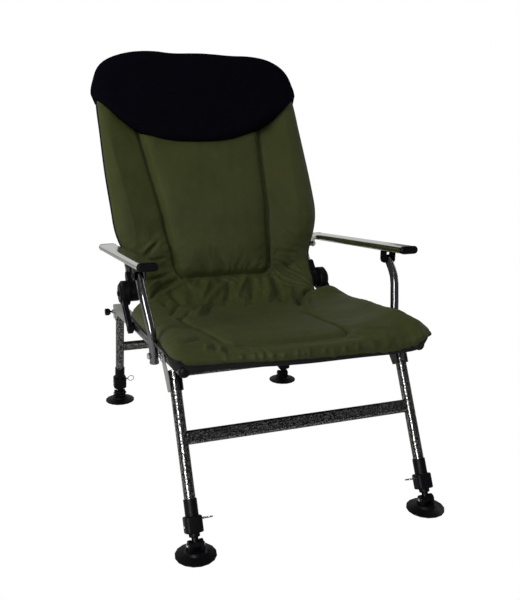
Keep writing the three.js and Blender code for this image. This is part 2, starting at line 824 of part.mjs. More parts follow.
// Back frame: two bent tubes that meet in the middle of the top bow
function backTube(side, radius, facets, extra) {
  const step = Math.SQRT1_2;
  const start = hubSocketNear + fit + extra;
  const bowY = lumbarTopY + backSlope * (backTopHeight - lumbarTopHeight);
  const cornerZ = backTopHeight - bowDrop;
  const cornerY = lumbarTopY + backSlope * (cornerZ - lumbarTopHeight);
  const shoulderZ = cornerZ - bowDrop / 2;
  return bentTube([
    [side * backTubeX, hub[0] + step * start, hub[1] + step * start],
    [side * backTubeX, hub[0] + backBend, hub[1] + backBend],
    [side * lumbarTopX, lumbarTopY, lumbarTopHeight],
    [side * (lumbarTopX + fit), lumbarTopY + backSlope * (shoulderZ - lumbarTopHeight), shoulderZ],
    [side * bowCornerX, (cornerY + bowY) / 2, (cornerZ + backTopHeight) / 2],
    [side * bowFlatX, bowY, backTopHeight],
    [side * (fit / 2 + extra), bowY, backTopHeight],
  ], backBendEase, radius, facets);
}

// Armrests

function armBeam(width, thickness, from, to, bevel) {
  const shape = oval(width - 2 * bevel, thickness - 2 * bevel);
  const beam = new THREE.ExtrudeGeometry(shape, {
    depth: to - from - 2 * bevel,
    bevelEnabled: bevel > 0,
    bevelSize: bevel,
    bevelThickness: bevel,
    bevelSegments: 1,
    curveSegments: 4,
  });
  beam.translate(0, 0, from + bevel).rotateX(-Math.PI / 2 - armAngle);
  return beam;
}

function armrest(side) {
  const length = (armRearY - armFrontY) / Math.cos(armAngle);
  const place = [side * armX, armFrontY, armFrontHeight];
  const shell = (inset, from, to) => solidOf(
    armBeam(armWidth - 2 * inset, armThickness - 2 * inset, from, to, 0).translate(...place),
  );
  const beam = cut(
    shell(0, armCapLength + fit, length - armCapBevel),
    shell(wall, armCapLength + fit - overrun, length - armCapLength),
  );
  const endCap = solidOf(armBeam(
    armWidth + 2 * armCapLip,
    armThickness + 2 * armCapLip,
    length - armCapLength,
    length,
    armCapBevel,
  ).translate(...place));
  const lugOut = armLugX + armLugThickness;
  const lug = cut(
    plateX(strap(armPivot, [armPivotY, armZ(armPivotY)], armLugRadius), side * armLugX, side * lugOut),
    boreX(side * (armLugX - overrun), side * (lugOut + overrun), armPivot),
  );
  return join(beam, endCap, lug);
}

function armCap(side) {
  const cap = armBeam(armWidth + 2 * armCapLip, armThickness + 2 * armCapLip, 0, armCapLength, armCapBevel);
  return solidOf(cap.translate(side * armX, armFrontY, armFrontHeight));
}

function armPivotBolt(side) {
  const share = (armPivotHeight - hubHeight - backBend) / (lumbarTopHeight - hubHeight - backBend);
  const tubeX = backTubeX + (lumbarTopX - backTubeX) * share;
  const tubeIn = tubeX - backTubeRadius - 3 * fit;
  const tubeOut = tubeX + backTubeRadius + 3 * fit;
  const lugOut = armLugX + armLugThickness + fit;
  return turnedX([
    [0, tubeIn - boltHeadHeight],
    [boltHeadRadius, tubeIn - boltHeadHeight],
    [boltHeadRadius, tubeIn],
    [boltRadius, tubeIn],
    [boltRadius, tubeOut],
    [boltHeadRadius, tubeOut],
    [boltHeadRadius, armLugX - fit],
    [boltRadius, armLugX - fit],
    [boltRadius, lugOut],
    [boltHeadRadius, lugOut],
    [boltHeadRadius, lugOut + boltHeadHeight - boltHeadChamfer],
    [boltHeadRadius - boltHeadChamfer, lugOut + boltHeadHeight],
    [0, lugOut + boltHeadHeight],
  ], side, armPivot, boltFacets);
}

// The U bracket under the armrest; the post's top turns between its ears.
function postBracket(side) {
  const inner = postRadius + postBracketSlack;
  const outer = inner + sheet;
  const under = (y) => armZ(y) - armThickness / 2 / Math.cos(armAngle) - fit;
  const front = postTop[0] - postBracketLength / 2;
  const rear = postTop[0] + postBracketLength / 2;
  const low = postTop[1] - postBracketEarBelow;
  const round = postBracketLength / 3;
  const ear = new THREE.Shape();
  ear.moveTo(front, under(front));
  ear.lineTo(front, low + round);
  ear.absarc(front + round, low + round, round, Math.PI, 3 * Math.PI / 2, false);
  ear.absarc(rear - round, low + round, round, 3 * Math.PI / 2, 2 * Math.PI, false);
  ear.lineTo(rear, under(rear));
  ear.closePath();
  const hollow = plateX(outline([
    [front - overrun, under(front - overrun) - sheet],
    [front - overrun, low - overrun],
    [rear + overrun, low - overrun],
    [rear + overrun, under(rear + overrun) - sheet],
  ]), side * (armX - inner), side * (armX + inner));
  const heads = sides.map((face) => rodX(
    postBoltHeadRadius,
    side * armX + face * (outer - sheet / 2),
    side * armX + face * (outer + boltHeadHeight - boltHeadChamfer),
    postTop,
    boltFacets,
  ));
  return join(cut(plateX(ear, side * (armX - outer), side * (armX + outer)), hollow), ...heads);
}

function post(side) {
  const footZ = postFoot[1] - postEnd;
  const rise = postTop[1] - postFoot[1];
  const lean = postTop[0] - postFoot[0];
  const splay = armX - postFootX;
  const tube = bentTube([
    [side * postFootX, postFoot[0], footZ],
    [
      side * (postFootX + splay * postLowBend.splay),
      postFoot[0] + lean * postLowBend.lean,
      postFoot[1] + rise * postLowBend.rise,
    ],
    [side * armX, postFoot[0] + lean * postHighBend.lean, postFoot[1] + rise * postHighBend.rise],
    [side * armX, postTop[0] + postTopReach / 2, postTop[1] + postTopReach],
  ], 2 * postRadius, postRadius, postFacets);
  const capEnd = turned([
    [0, -fit],
    [postRadius + postCapLip, -fit],
    [postRadius + postCapLip, postCapHeight],
    [0, postCapHeight],
  ], postFacets).translate([side * postFootX, postFoot[0], footZ]);
  const boreReach = postRadius + overrun;
  const bore = boreX(side * (postFootX - boreReach), side * (postFootX + boreReach), postFoot);
  return cut(join(tube, capEnd), bore);
}

function postBolt(side) {
  const railOut = legSpread + tubeRadius;
  const outerX = postFootX + postRadius + 5 * fit;
  const shank = bolt(side, legSpread - tubeRadius - fit, outerX, postFoot);
  const washerOut = postFootX - postRadius - fit;
  const washer = rodX(boltHeadRadius, side * (railOut + fit), side * washerOut, postFoot, boltFacets);
  return join(shank, washer);
}

// Padding: rings of points laid across a path that runs up the middle of the pad

const acrossShares = [0, 0.3, 0.44, 0.5, 0.56, 0.78, 0.93, 1];
const underShares = [0.88, 0.4];
const seamShare = 0.5;
const seamWidthShare = 0.045;

function pad(stations, seamDepth, grow = 0) {
  const columns = [...acrossShares.slice(1).reverse().map((share) => -share), ...acrossShares];
  const underside = [...underShares, ...underShares.slice().reverse().map((share) => -share)];
  const ring = [...columns.map((share) => [share, 1]), ...underside.map((share) => [share, -1])];
  const positions = [];
  stations.forEach((station, row) => {
    const before = stations[Math.max(row - 1, 0)];
    const after = stations[Math.min(row + 1, stations.length - 1)];
    const [dy, dz] = [after.y - before.y, after.z - before.z];
    const length = Math.hypot(dy, dz);
    const [ny, nz] = [-dz / length, dy / length];
    for (const [share, face] of ring) {
      const crown = Math.sqrt(Math.max(0, 1 - Math.abs(share) ** crownPower));
      const fromSeam = (Math.abs(share) - seamShare) / seamWidthShare;
      const fall = station.seam * seamDepth * Math.exp(-(fromSeam ** 2));
      const skin = Math.abs(share) < 1 ? grow : 0;
      const lift = face > 0 ? station.top * crown + skin - fall : -station.bottom * crown - skin;
      positions.push(share * (station.half + grow), station.y + ny * lift, station.z + nz * lift);
    }
  });
  const [first, last] = [stations[0], stations[stations.length - 1]];
  return ringSolid(positions, ring.length, stations.length, [0, first.y, first.z], [0, last.y, last.z]);
}

// Seat: the front roll goes down before the front bar, then the pad follows the rails.
function seatStations() {
  const barZ = railZ(frontBarY);
  const roll = tubeRadius;
  const rollShares = [
    // y and z from the front bar's axis, padding outside and inside, and half width
    [-1.62, -1.75, 0.2, 0.16, 0.9],
    [-1.78, -0.9, 0.3, 0.22, 0.93],
    [-1.82, 0.2, 0.42, 0.28, 0.955],
    [-1.55, 1.25, 0.55, 0.42, 0.975],
    [-0.75, 1.95, 0.7, 0.5, 0.99],
  ];
  const stations = rollShares.map(([y, z, top, bottom, half]) => ({
    y: frontBarY + y * roll,
    z: barZ + z * roll,
    top: top * seatTop,
    bottom: bottom * seatBottom,
    half: half * seatHalfWidth,
    seam: 0,
  }));
  const runShares = [
    // place along the seat, padding above and below, half width, seam
    [0.04, 0.85, 0.6, 1, 0],
    [0.09, 0.92, 0.68, 1, 0],
    [0.13, 0.78, 0.74, 0.995, 0.2],
    [0.17, 0.96, 0.8, 0.985, 1],
    [0.24, 1, 0.86, 0.965, 1],
    [0.31, 1, 0.92, 0.955, 1],
    [0.38, 1, 1, 0.955, 1],
    [0.45, 1, 1, 0.965, 1],
    [0.53, 1, 1.05, 0.98, 1],
    [0.61, 1, 1.1, 0.985, 1],
    [0.69, 1, 1.1, 0.985, 1],
    [0.77, 1, 1.1, 0.98, 1],
    [0.84, 0.98, 1.1, 0.97, 1],
    [0.9, 0.94, 1.08, 0.955, 0.6],
    [0.95, 0.86, 1, 0.91, 0],
    [0.985, 0.7, 0.8, 0.86, 0],
    [1, 0.45, 0.5, 0.83, 0],
  ];
  const depth = seatRearY - frontBarY;
  for (const [share, top, bottom, half, seam] of runShares) {
    const y = frontBarY + share * depth;
    const under = railZ(y) + tubeRadius / Math.cos(railAngle) + softGap;
    const settle = Math.max(0, share - seatRiseShare) * seatTop;
    stations.push({
      y,
      z: under + Math.max(bottom, seatSheetShare) * seatBottom + settle,
      top: top * seatTop,
      bottom: bottom * seatBottom,
      half: half * seatHalfWidth,
      seam,
    });
  }
  return stations;
}

// The waist is the gathered cloth between seat and back, drawn in between the hubs.
function waistStations(seatEnd, backStart) {
  const curve = new THREE.CubicBezierCurve(
    new THREE.Vector2(seatEnd.y + 3 * softGap, seatEnd.z),
    new THREE.Vector2(hubY - waistPad, seatEnd.z + softGap),
    new THREE.Vector2(hubY + waistPad, hubHeight + waistPad / 2),
    new THREE.Vector2(backStart.y, backStart.z - softGap),
  );
  const stations = [];
  const steps = 8;
  for (let i = 0; i <= steps; i += 1) {
    const share = i / steps;
    const spot = curve.getPoint(share);
    const swell = Math.sin(Math.PI * share);
    stations.push({
      y: spot.x,
      z: spot.y,
      top: waistPad * (waistTop + waistSwell * swell),
      bottom: waistPad * (waistBottom + waistSwell * swell),
      half: waistHalfWidth - waistPad * waistSwell * swell,
      seam: 0,
    });
  }
  return stations;
}

// Back: from the waist up to the lumbar, then along the reclined frame.
const backShares = [
  // height from waist to top, padding in front and behind, half width, seam
  [0, 0.5, 0.35, 0.8, 0],
  [0.02, 0.72, 0.45, 0.835, 0],
  [0.05, 0.86, 0.5, 0.87, 0],
  [0.08, 0.94, 0.52, 0.905, 0.7],
  [0.12, 1, 0.55, 0.93, 1],
  [0.17, 1, 0.7, 0.94, 1],
  [0.22, 1, 0.85, 0.945, 1],
  [0.27, 1, 1, 0.95, 1],
  [0.34, 1, 1, 0.955, 1],
  [0.42, 1, 1, 0.965, 1],
  [0.5, 1, 1, 0.98, 1],
  [0.58, 1, 1, 0.985, 1],
  [0.66, 1, 1, 0.99, 1],
  [0.74, 0.98, 1, 0.995, 0.6],
  [0.82, 0.96, 1, 1, 0],
  [0.89, 0.94, 1, 0.985, 0],
  [0.935, 0.9, 0.98, 0.95, 0],
  [0.965, 0.84, 0.92, 0.89, 0],
  [0.985, 0.72, 0.8, 0.8, 0],
  [1, 0.5, 0.6, 0.66, 0],
];
const backPadLow = 462; // lower end of the back pad
const backPadLowY = 668;
const backPadHigh = 1040;
const lumbarForward = 13; // pad before the tube at the lumbar
const lumbarFade = 200; // height over which that runs out
const lumbarArch = 0.55; // how much the pad arches between waist and lumbar

function backPlace(height) {
  const bend = lumbarTopHeight;
  if (height >= bend) {
    const faded = Math.min(1, (height - bend) / lumbarFade);
    return lumbarTopY + backSlope * (height - bend) - lumbarForward * (1 - faded);
  }
  const share = (height - backPadLow) / (bend - backPadLow);
  const rise = lumbarTopY - lumbarForward - backPadLowY;
  return backPadLowY + rise * share * (1 + lumbarArch * (1 - share));
}

function backStations() {
  return backShares.map(([share, top, bottom, half, seam]) => {
    const z = backPadLow + share * (backPadHigh - backPadLow);
    return {
      y: backPlace(z),
      z,
      top: top * backPadTop,
      bottom: bottom * backPadBottom,
      half: half * backHalfWidth,
      seam,
    };
  });
}

// The headrest is a hood over the top of the back, with a smile-shaped lower edge.
function headrest(stations) {
  const outer = stations.filter((station) => station.z > headrestLow - overrun * 2).map((station) => ({
    ...station,
    top: station.top + headrestWrap,
    bottom: station.bottom + headrestWrap / 2,
    half: station.half * headrestHalfWidth / backHalfWidth,
    seam: 0,
  }));
  const last = outer[outer.length - 1];
  const before = outer[outer.length - 2];
  const run = Math.hypot(last.y - before.y, last.z - before.z);
  const reach = headrestWrap / run;
  outer.push({
    ...last,
    y: last.y + (last.y - before.y) * reach,
    z: last.z + (last.z - before.z) * reach,
    top: last.top * headrestEndPad,
    bottom: last.bottom * headrestEndPad,
    half: last.half * headrestEndHalf,
  });
  const smile = new THREE.Shape();
  const wide = headrestHalfWidth + overrun;
  smile.moveTo(-wide, headrestLow - smileDepth);
  for (let i = 0; i <= smileSteps; i += 1) {
    const share = -1 + 2 * i / smileSteps;
    smile.lineTo(wide * share, headrestLow + smileDepth * Math.abs(share) ** smilePower);
  }
  smile.lineTo(wide, headrestLow - smileDepth);
  smile.closePath();
  const deep = backTopHeight;
  const knife = new THREE.ExtrudeGeometry(smile, { depth: deep, bevelEnabled: false });
  knife.rotateX(Math.PI / 2).translate(0, lumbarTopY + deep / 2, 0);
  const top = stations[stations.length - 1];
  const under = stations[stations.length - 2];
  const rise = fit / Math.hypot(top.y - under.y, top.z - under.z);
  const lid = { ...top, y: top.y + (top.y - under.y) * rise, z: top.z + (top.z - under.z) * rise };
  const room = [...stations, lid];
  return cut(pad(outer, 0), pad(room, 0, fit), solidOf(knife));
}

// Assembly

const chair = new THREE.Group();

function legGroup(side, y, lean) {
  const group = new THREE.Group();
  group.position.set(side * legSpread, y, pinHeight);
  group.rotation.x = lean;
  chair.add(group);
  return group;
}

for (const side of sides) {
  const name = sideName(side);
  const front = legGroup(side, 0, -frontLean);
  const rear = legGroup(side, wheelbase, rearLean);
  front.add(meshOf(`front_leg_${name}`, legTube(side, frontLegTop, 0), hammertone));
  front.add(meshOf(`front_leg_bracket_${name}`, frontBracket(), greySteel));
  rear.add(meshOf(`rear_leg_${name}`, legTube(side, rearLegTop, rearPivotAt), hammertone));
  for (const [end, group, y] of [['front', front, 0], ['rear', rear, wheelbase]]) {
    group.add(meshOf(`leg_sleeve_${end}_${name}`, legSleeve(side), blackPlastic));
    group.add(meshOf(`leg_extension_${end}_${name}`, legExtension(side), blackPlastic));
    group.add(meshOf(`pull_pin_${end}_${name}`, pullPin(side, end === 'front'), zinc));
    const foot = meshOf(`mud_foot_${end}_${name}`, mudFoot(), blackPlastic);
    foot.position.set(side * legSpread, y, pinHeight);
    chair.add(foot);
  }
  chair.add(meshOf(`seat_rail_${name}`, seatRail(side), hammertone));
  chair.add(meshOf(`rear_channel_${name}`, rearChannel(side), greySteel));
  chair.add(meshOf(`lock_plunger_${name}`, lockPlunger(side), blackPlastic));
  chair.add(meshOf(`front_pivot_bolt_${name}`, bolt(
    side,
    legSpread - tubeRadius - sheet - 2 * fit,
    legSpread + tubeRadius + sheet + 2 * fit,
    frontPivot,
  ), zinc));
  chair.add(meshOf(`rear_pivot_bolt_${name}`, bolt(
    side,
    legSpread - tubeRadius - sheet - 2 * fit,
    legSpread + tubeRadius + sheet + 2 * fit,
    rearPivot,
  ), zinc));
  chair.add(meshOf(`recline_hub_outer_${name}`, hubOuter(side), blackPlastic));
  chair.add(meshOf(`recline_hub_inner_${name}`, hubInner(side), blackPlastic));
  chair.add(meshOf(`recline_hub_bolt_${name}`, bolt(
    side,
    hubSplit - hubInnerWidth - fit,
    hubSplit + hubOuterWidth + fit,
    hub,
  ), blackPlastic));
  chair.add(meshOf(`post_${name}`, post(side), hammertone));
  chair.add(meshOf(`post_bolt_${name}`, postBolt(side), zinc));
  chair.add(meshOf(`armrest_${name}`, armrest(side), paleGrey));
  chair.add(meshOf(`armrest_cap_${name}`, armCap(side), blackPlastic));
  chair.add(meshOf(`armrest_bracket_${name}`, postBracket(side), blackPlastic));
  chair.add(meshOf(`armrest_pivot_bolt_${name}`, armPivotBolt(side), zinc));
  const tubeCut = boreX(side * backTubeX / 2, side * (armLugX + overrun), armPivot);
  const tubeBore = backTube(side, backTubeRadius - wall, roomFacets, -fit);
  const tube = cut(backTube(side, backTubeRadius, tubeFacets, 0), tubeBore, tubeCut);
  chair.add(meshOf(`back_tube_${name}`, tube, hammertone));
}

const legPairs = [
  ['front', 0, -frontLean, frontCrossbarAt],
  ['rear', wheelbase, rearLean, rearCrossbarAt],
];
for (const [end, y, lean, at] of legPairs) {
  const group = new THREE.Group();
  group.position.set(0, y, pinHeight);
  group.rotation.x = lean;
  group.add(meshOf(`${end}_crossbar`, legCrossbar(at), hammertone));
  chair.add(group);
}
chair.add(meshOf('seat_front_bar', seatBar(frontBarY, tubeRadius), hammertone));
chair.add(meshOf('seat_rear_bar', seatBar(rearBarY, rearBarRadius), hammertone));

const seatRows = seatStations();
const backRows = backStations();
const waistRows = waistStations(seatRows[seatRows.length - 1], backRows[0]);
const tubeRoom = sides.map((side) => backTube(side, backTubeRadius + 3 * softGap, roomFacets, -fit));
const boltRoomIn = backTubeX - backTubeRadius - boltHeadRadius;
const boltRoom = sides.map((side) => (
  rodX(boltHeadRadius + softGap, side * boltRoomIn, side * armX, armPivot, roomFacets)
));
chair.add(meshOf('seat_cushion', pad(seatRows, seatSeamDepth), greenCloth));
chair.add(meshOf('cover_waist', pad(waistRows, 0), greenCloth));
chair.add(meshOf('back_cushion', cut(pad(backRows, backSeamDepth), ...tubeRoom, ...boltRoom), greenCloth));
chair.add(meshOf('headrest', headrest(backRows), blackFleece));

// The origin is under the middle of the chair's box.
const box = new THREE.Box3().setFromObject(chair, true);
const offset = new THREE.Vector3((box.min.x + box.max.x) / 2, (box.min.y + box.max.y) / 2, box.min.z);
chair.position.copy(offset).negate();

const metres = ([y, z]) => (
  [(y - offset.y) / 1000, (z - offset.z) / 1000].map((value) => value.toFixed(5)).join(' ')
);
for (const [label, place] of Object.entries({
  frontPivot,
  rearPivot,
  plunger,
  hub,
  armPivot,
  postFoot,
  postTop,
  frontFoot: [0, pinHeight],
  rearFoot: [wheelbase, pinHeight],
})) {
  console.log(label, 'y z', metres(place));
}

export default chair;
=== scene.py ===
import json
import math

import bpy
import numpy as np
from mathutils import Matrix, Vector


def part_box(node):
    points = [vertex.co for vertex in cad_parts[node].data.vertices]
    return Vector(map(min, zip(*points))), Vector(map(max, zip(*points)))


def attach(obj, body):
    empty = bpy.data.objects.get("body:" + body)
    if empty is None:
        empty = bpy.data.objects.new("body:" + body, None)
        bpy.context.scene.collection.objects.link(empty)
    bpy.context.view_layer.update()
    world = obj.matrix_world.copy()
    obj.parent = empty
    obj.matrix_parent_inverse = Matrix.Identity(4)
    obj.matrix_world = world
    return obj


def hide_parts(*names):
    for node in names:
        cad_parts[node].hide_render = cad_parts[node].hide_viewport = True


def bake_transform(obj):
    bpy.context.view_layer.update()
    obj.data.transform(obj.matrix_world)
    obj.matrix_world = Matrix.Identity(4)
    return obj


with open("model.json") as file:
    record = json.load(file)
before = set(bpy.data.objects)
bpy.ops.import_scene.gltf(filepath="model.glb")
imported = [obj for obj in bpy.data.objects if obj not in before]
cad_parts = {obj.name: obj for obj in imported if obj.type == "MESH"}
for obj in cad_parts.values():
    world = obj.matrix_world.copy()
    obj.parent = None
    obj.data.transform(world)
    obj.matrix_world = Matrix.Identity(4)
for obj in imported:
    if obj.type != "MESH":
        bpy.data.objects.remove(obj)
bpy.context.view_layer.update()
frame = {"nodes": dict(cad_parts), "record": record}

# The chair is measured in millimetres: x across, y back from the front foot pins, z up from the floor.
footLow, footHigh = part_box("mud_foot_front_left")
pinLine = (footLow.y + footHigh.y) / 2  # metres
sides = (-1, 1)
ends = ("front", "rear")
legStyle = {
    "x": 275,
    "pinHeight": 24,
    "footY": {"front": 0, "rear": 882},
    "lean": {"front": math.radians(-26.5), "rear": math.radians(13)},
}
railStyle = {"slope": 0.089, "pivotY": 231.5, "pivotZ": 362}
bodyOf = {node: body for body, nodes in frame["record"]["behaviour"]["bodies"].items() for node in nodes}


def sideName(side):
    return "left" if side < 0 else "right"


def spot(x, y, z):
    return Vector((x / 1000, pinLine + y / 1000, z / 1000))


def railZ(y):
    return railStyle["pivotZ"] - railStyle["slope"] * (y - railStyle["pivotY"])


def footPin(side, end, out=0):
    return Matrix.Translation(spot(side * legStyle["x"] + out, legStyle["footY"][end], legStyle["pinHeight"]))


# Shader sums, written as sums
class Tap:
    def __init__(self, tree, socket):
        self.tree, self.socket = tree, socket

    def math(self, kind, *others):
        node = self.tree.nodes.new("ShaderNodeMath")
        node.operation = kind
        for slot, value in zip(node.inputs, (self, *others)):
            if isinstance(value, Tap):
                self.tree.links.new(value.socket, slot)
            else:
                slot.default_value = value
        return Tap(self.tree, node.outputs[0])

    def __add__(self, other):
        return self.math("ADD", other)

    def __mul__(self, other):
        return self.math("MULTIPLY", other)

    def __sub__(self, other):
        return self.math("SUBTRACT", other)

    def __rsub__(self, other):
        return (self * -1) + other

    __radd__ = __add__
    __rmul__ = __mul__


class Look:
    def __init__(self, name, color, roughness, metallic=0.0, **more):
        self.material = bpy.data.materials.new(name)
        self.material.use_nodes = True
        self.tree = self.material.node_tree
        self.shader = self.tree.nodes["Principled BSDF"]
        self.set("Base Color", (*color, 1))
        self.set("Roughness", roughness)
        self.set("Metallic", metallic)
        for socket, value in more.items():
            self.set(socket.replace("_", " "), value)

    def set(self, socket, value):
        self.shader.inputs[socket].default_value = value

    def feed(self, socket, tap):
        self.tree.links.new(tap.socket, self.shader.inputs[socket])

    def node(self, kind, output=0, options=None, **inputs):
        node = self.tree.nodes.new("ShaderNode" + kind)
        for key, value in (options or {}).items():
            setattr(node, key, value)
        for key, value in inputs.items():
            slot = node.inputs[int(key[1:])] if key[0] == "n" and key[1:].isdigit() else node.inputs[key]
            if isinstance(value, Tap):
                self.tree.links.new(value.socket, slot)
            else:
                slot.default_value = value
        return Tap(self.tree, node.outputs[output])

    def coords(self, kind="Object"):
        return self.node("TexCoord", output=kind)

    def noise(self, where, scale, detail=2.0, rough=0.5):
        return self.node("TexNoise", Vector=where, Scale=scale, Detail=detail, Roughness=rough)

    def ramp(self, tap, low, high, toLow=0.0, toHigh=1.0):
        return self.node("MapRange", Value=tap, n1=low, n2=high, n3=toLow, n4=toHigh)

    def roughen(self, tap, low, high):
        self.feed("Roughness", self.ramp(tap, *noiseSpan, low, high))

    def mix(self, tap, a, b):
        return self.node("Mix", output=2, options={"data_type": "RGBA"}, n0=tap, n6=(*a, 1), n7=(*b, 1))

    def bump(self, tap, distance, strength=1.0):
        self.feed("Normal", self.node("Bump", Height=tap, Distance=distance, Strength=strength))


noiseSpan = (0.3, 0.7)  # where most of a noise's values lie


def plainFinish(name, style, metallic=0.0, **more):
    # one colour whose gloss drifts, with a fine grain if the style names one
    look = Look(name, style["color"], style["roughness"], metallic, **more)
    where = look.coords()
    look.roughen(look.noise(where, style["blotch"]), *style["drift"])
    if "grain" in style:
        look.bump(look.noise(where, style["grain"]), style["depth"], style["bump"])
    return look


# Hammered paint: dark, with pale specks where its small cells stand up
hammerStyle = {
    "color": (0.012, 0.013, 0.013),
    "bright": (0.5, 0.5, 0.48),
    "cells": (400, 3, 0.6),  # scale, detail, roughness
    "speck": (0.49, 0.62),
    "drift": (0.3, 0.16),
    "depth": 0.0008,
    "bump": 0.28,
}
hammertone = Look("hammertone", hammerStyle["color"], 0.32, 0.95)
cells = hammertone.noise(hammertone.coords(), *hammerStyle["cells"])
speck = hammertone.ramp(cells, *hammerStyle["speck"])
hammertone.feed("Base Color", hammertone.mix(speck, hammerStyle["color"], hammerStyle["bright"]))
hammertone.roughen(cells, *hammerStyle["drift"])
hammertone.bump(cells, hammerStyle["depth"], hammerStyle["bump"])

# The posts are painted smooth
postStyle = {"color": (0.16, 0.16, 0.165), "roughness": 0.2, "blotch": 60, "drift": (0.12, 0.2),
             "grain": 500, "depth": 0.0001, "bump": 0.3}
postPaint = plainFinish("post_paint", postStyle, 1.0)

# Grey for the rear channel and the bracket's outer cheek: a painted reflection, the grey standing for the
# white that the dark paint reflects at glancing angles
steelReflectionStyle = {"color": (0.3, 0.3, 0.28), "roughness": 0.45, "blotch": 60, "drift": (0.36, 0.5),
              "grain": 500, "depth": 0.00015, "bump": 0.4}
greySteelReflection = plainFinish("grey_steel", steelReflectionStyle, 0.3)

# The front bracket's outer cheek gets a lighter grey as a painted reflection; its inner cheek has the dark of
# the legs' paint
bracketReflectionStyle = {"color": steelReflectionStyle["color"], "roughness": 0.42, "blotch": 60, "drift": (0.34, 0.46),
                "cheek": (0.2675, 0.2685)}  # metres from the middle
bracketSteelReflection = plainFinish("bracket_painted_reflection", bracketReflectionStyle, 0.3)
sideways = bracketSteelReflection.node("SeparateXYZ", Vector=bracketSteelReflection.coords())
# the painted reflection: grey outside the cheek line, the legs' dark paint inside it
outerCheekReflection = bracketSteelReflection.ramp(sideways.math("ABSOLUTE"), *bracketReflectionStyle["cheek"])
bracketSteelReflection.feed("Base Color", bracketSteelReflection.mix(outerCheekReflection, hammerStyle["color"], bracketReflectionStyle["color"]))

armStyle = {"color": (0.8, 0.79, 0.73), "roughness": 0.16, "blotch": 45, "drift": (0.12, 0.22)}
armMetal = plainFinish("pale_grey", armStyle, 1.0)

plasticStyle = {"color": (0.0035, 0.0035, 0.0045), "roughness": 0.42, "blotch": 35, "drift": (0.36, 0.5),
                "grain": 900, "depth": 0.0001, "bump": 0.35}
blackPlastic = plainFinish("black_plastic", plasticStyle, Specular_IOR_Level=0.12)

zincStyle = {"color": (0.66, 0.66, 0.65), "roughness": 0.24, "blotch": 90, "drift": (0.18, 0.32)}
zinc = plainFinish("zinc", zincStyle, 1.0)

# Woven cloth: thread is the pitch of the weave and depth its height, in metres
clothStyle = {
    "color": (0.044, 0.0505, 0.0122),
    "worn": (0.056, 0.0635, 0.0168),
    "roughness": 0.52,
    "thread": 0.0009,
    "depth": 0.00012,
    "sheen": 0.04,
    "tint": (0.8, 0.85, 0.6),
}
webStyle = {
    "color": (0.006, 0.006, 0.0065),
    "worn": (0.011, 0.011, 0.012),
    "roughness": 0.7,
    "thread": 0.0016,
    "depth": 0.0003,
    "sheen": 0.05,
    "tint": (0.6, 0.6, 0.6),
}
weaveStyle = {
    "specular": 0.16,
    "sheenRoughness": 0.45,
    "cloud": (9, 3, 0.55),  # scale, detail, roughness
    "fuzz": (420, 2, 0.6),
    "cloudShare": 0.65,
    "fuzzShare": 0.35,
    "fuzzHeight": 0.6,
    "bump": 0.8,
}


def woven(name, style):
    look = Look(name, style["color"], style["roughness"], Sheen_Weight=style["sheen"],
                Sheen_Roughness=weaveStyle["sheenRoughness"])
    look.set("Sheen Tint", (*style["tint"], 1))
    look.set("Specular IOR Level", weaveStyle["specular"])
    uv = look.coords("UV")
    across = look.node("SeparateXYZ", Vector=uv)
    along = Tap(look.tree, across.socket.node.outputs["Y"])
    turns = 2 * math.pi / style["thread"]
    warp = (across * turns).math("SINE")
    weft = (along * turns).math("SINE")
    cloud = look.ramp(look.noise(uv, *weaveStyle["cloud"]), *noiseSpan)
    fuzz = look.noise(uv, *weaveStyle["fuzz"])
    share = cloud * weaveStyle["cloudShare"] + look.ramp(fuzz, *noiseSpan) * weaveStyle["fuzzShare"]
    look.feed("Base Color", look.mix(share, style["color"], style["worn"]))
    look.bump(warp * weft + fuzz * weaveStyle["fuzzHeight"], style["depth"], weaveStyle["bump"])
    return look


greenCloth = woven("green_cloth", clothStyle)
blackWeb = woven("black_web", webStyle)

fleeceStyle = {
    "color": (0.002, 0.0019, 0.0034),
    "dark": (0.0018, 0.0016, 0.0033),
    "light": (0.0038, 0.0035, 0.0068),
    "nap": (260, 4, 0.7),  # scale, detail, roughness
    "span": (0.35, 0.7),
    "depth": 0.0008,
    "bump": 0.6,
}
fleece = Look("black_fleece", fleeceStyle["color"], 0.95, Specular_IOR_Level=0.02)
nap = fleece.noise(fleece.coords(), *fleeceStyle["nap"])
tuft = fleece.ramp(nap, *fleeceStyle["span"])
fleece.feed("Base Color", fleece.mix(tuft, fleeceStyle["dark"], fleeceStyle["light"]))
fleece.bump(nap, fleeceStyle["depth"], fleeceStyle["bump"])
print("materials made")


# Making and finishing pieces
def deselect():
    if bpy.context.object and bpy.context.object.mode != "OBJECT":
        bpy.ops.object.mode_set(mode="OBJECT")
    bpy.ops.object.select_all(action="DESELECT")


def choose(piece):
    deselect()
    piece.select_set(True)
    bpy.context.view_layer.objects.active = piece
    return piece


def edit(piece, *steps):
    choose(piece)
    bpy.ops.object.mode_set(mode="EDIT")
    bpy.ops.mesh.select_mode(type="VERT")
    bpy.ops.mesh.select_all(action="SELECT")
    for step in steps:
        step()
    bpy.ops.object.mode_set(mode="OBJECT")


def merge(reach=2e-6):
    bpy.ops.mesh.remove_doubles(threshold=reach)


def facesOut():
    bpy.ops.mesh.normals_make_consistent(inside=False)


def modify(piece, kind, **options):
    choose(piece)
    modifier = piece.modifiers.new(kind.lower(), kind)
    for key, value in options.items():
        setattr(modifier, key, value)
    bpy.ops.object.modifier_apply(modifier=modifier.name)


def smooth(piece, angle=35, even=True):
    choose(piece)
    bpy.ops.object.shade_smooth_by_angle(angle=math.radians(angle))
    if even:
        modify(piece, "WEIGHTED_NORMAL", keep_sharp=True)


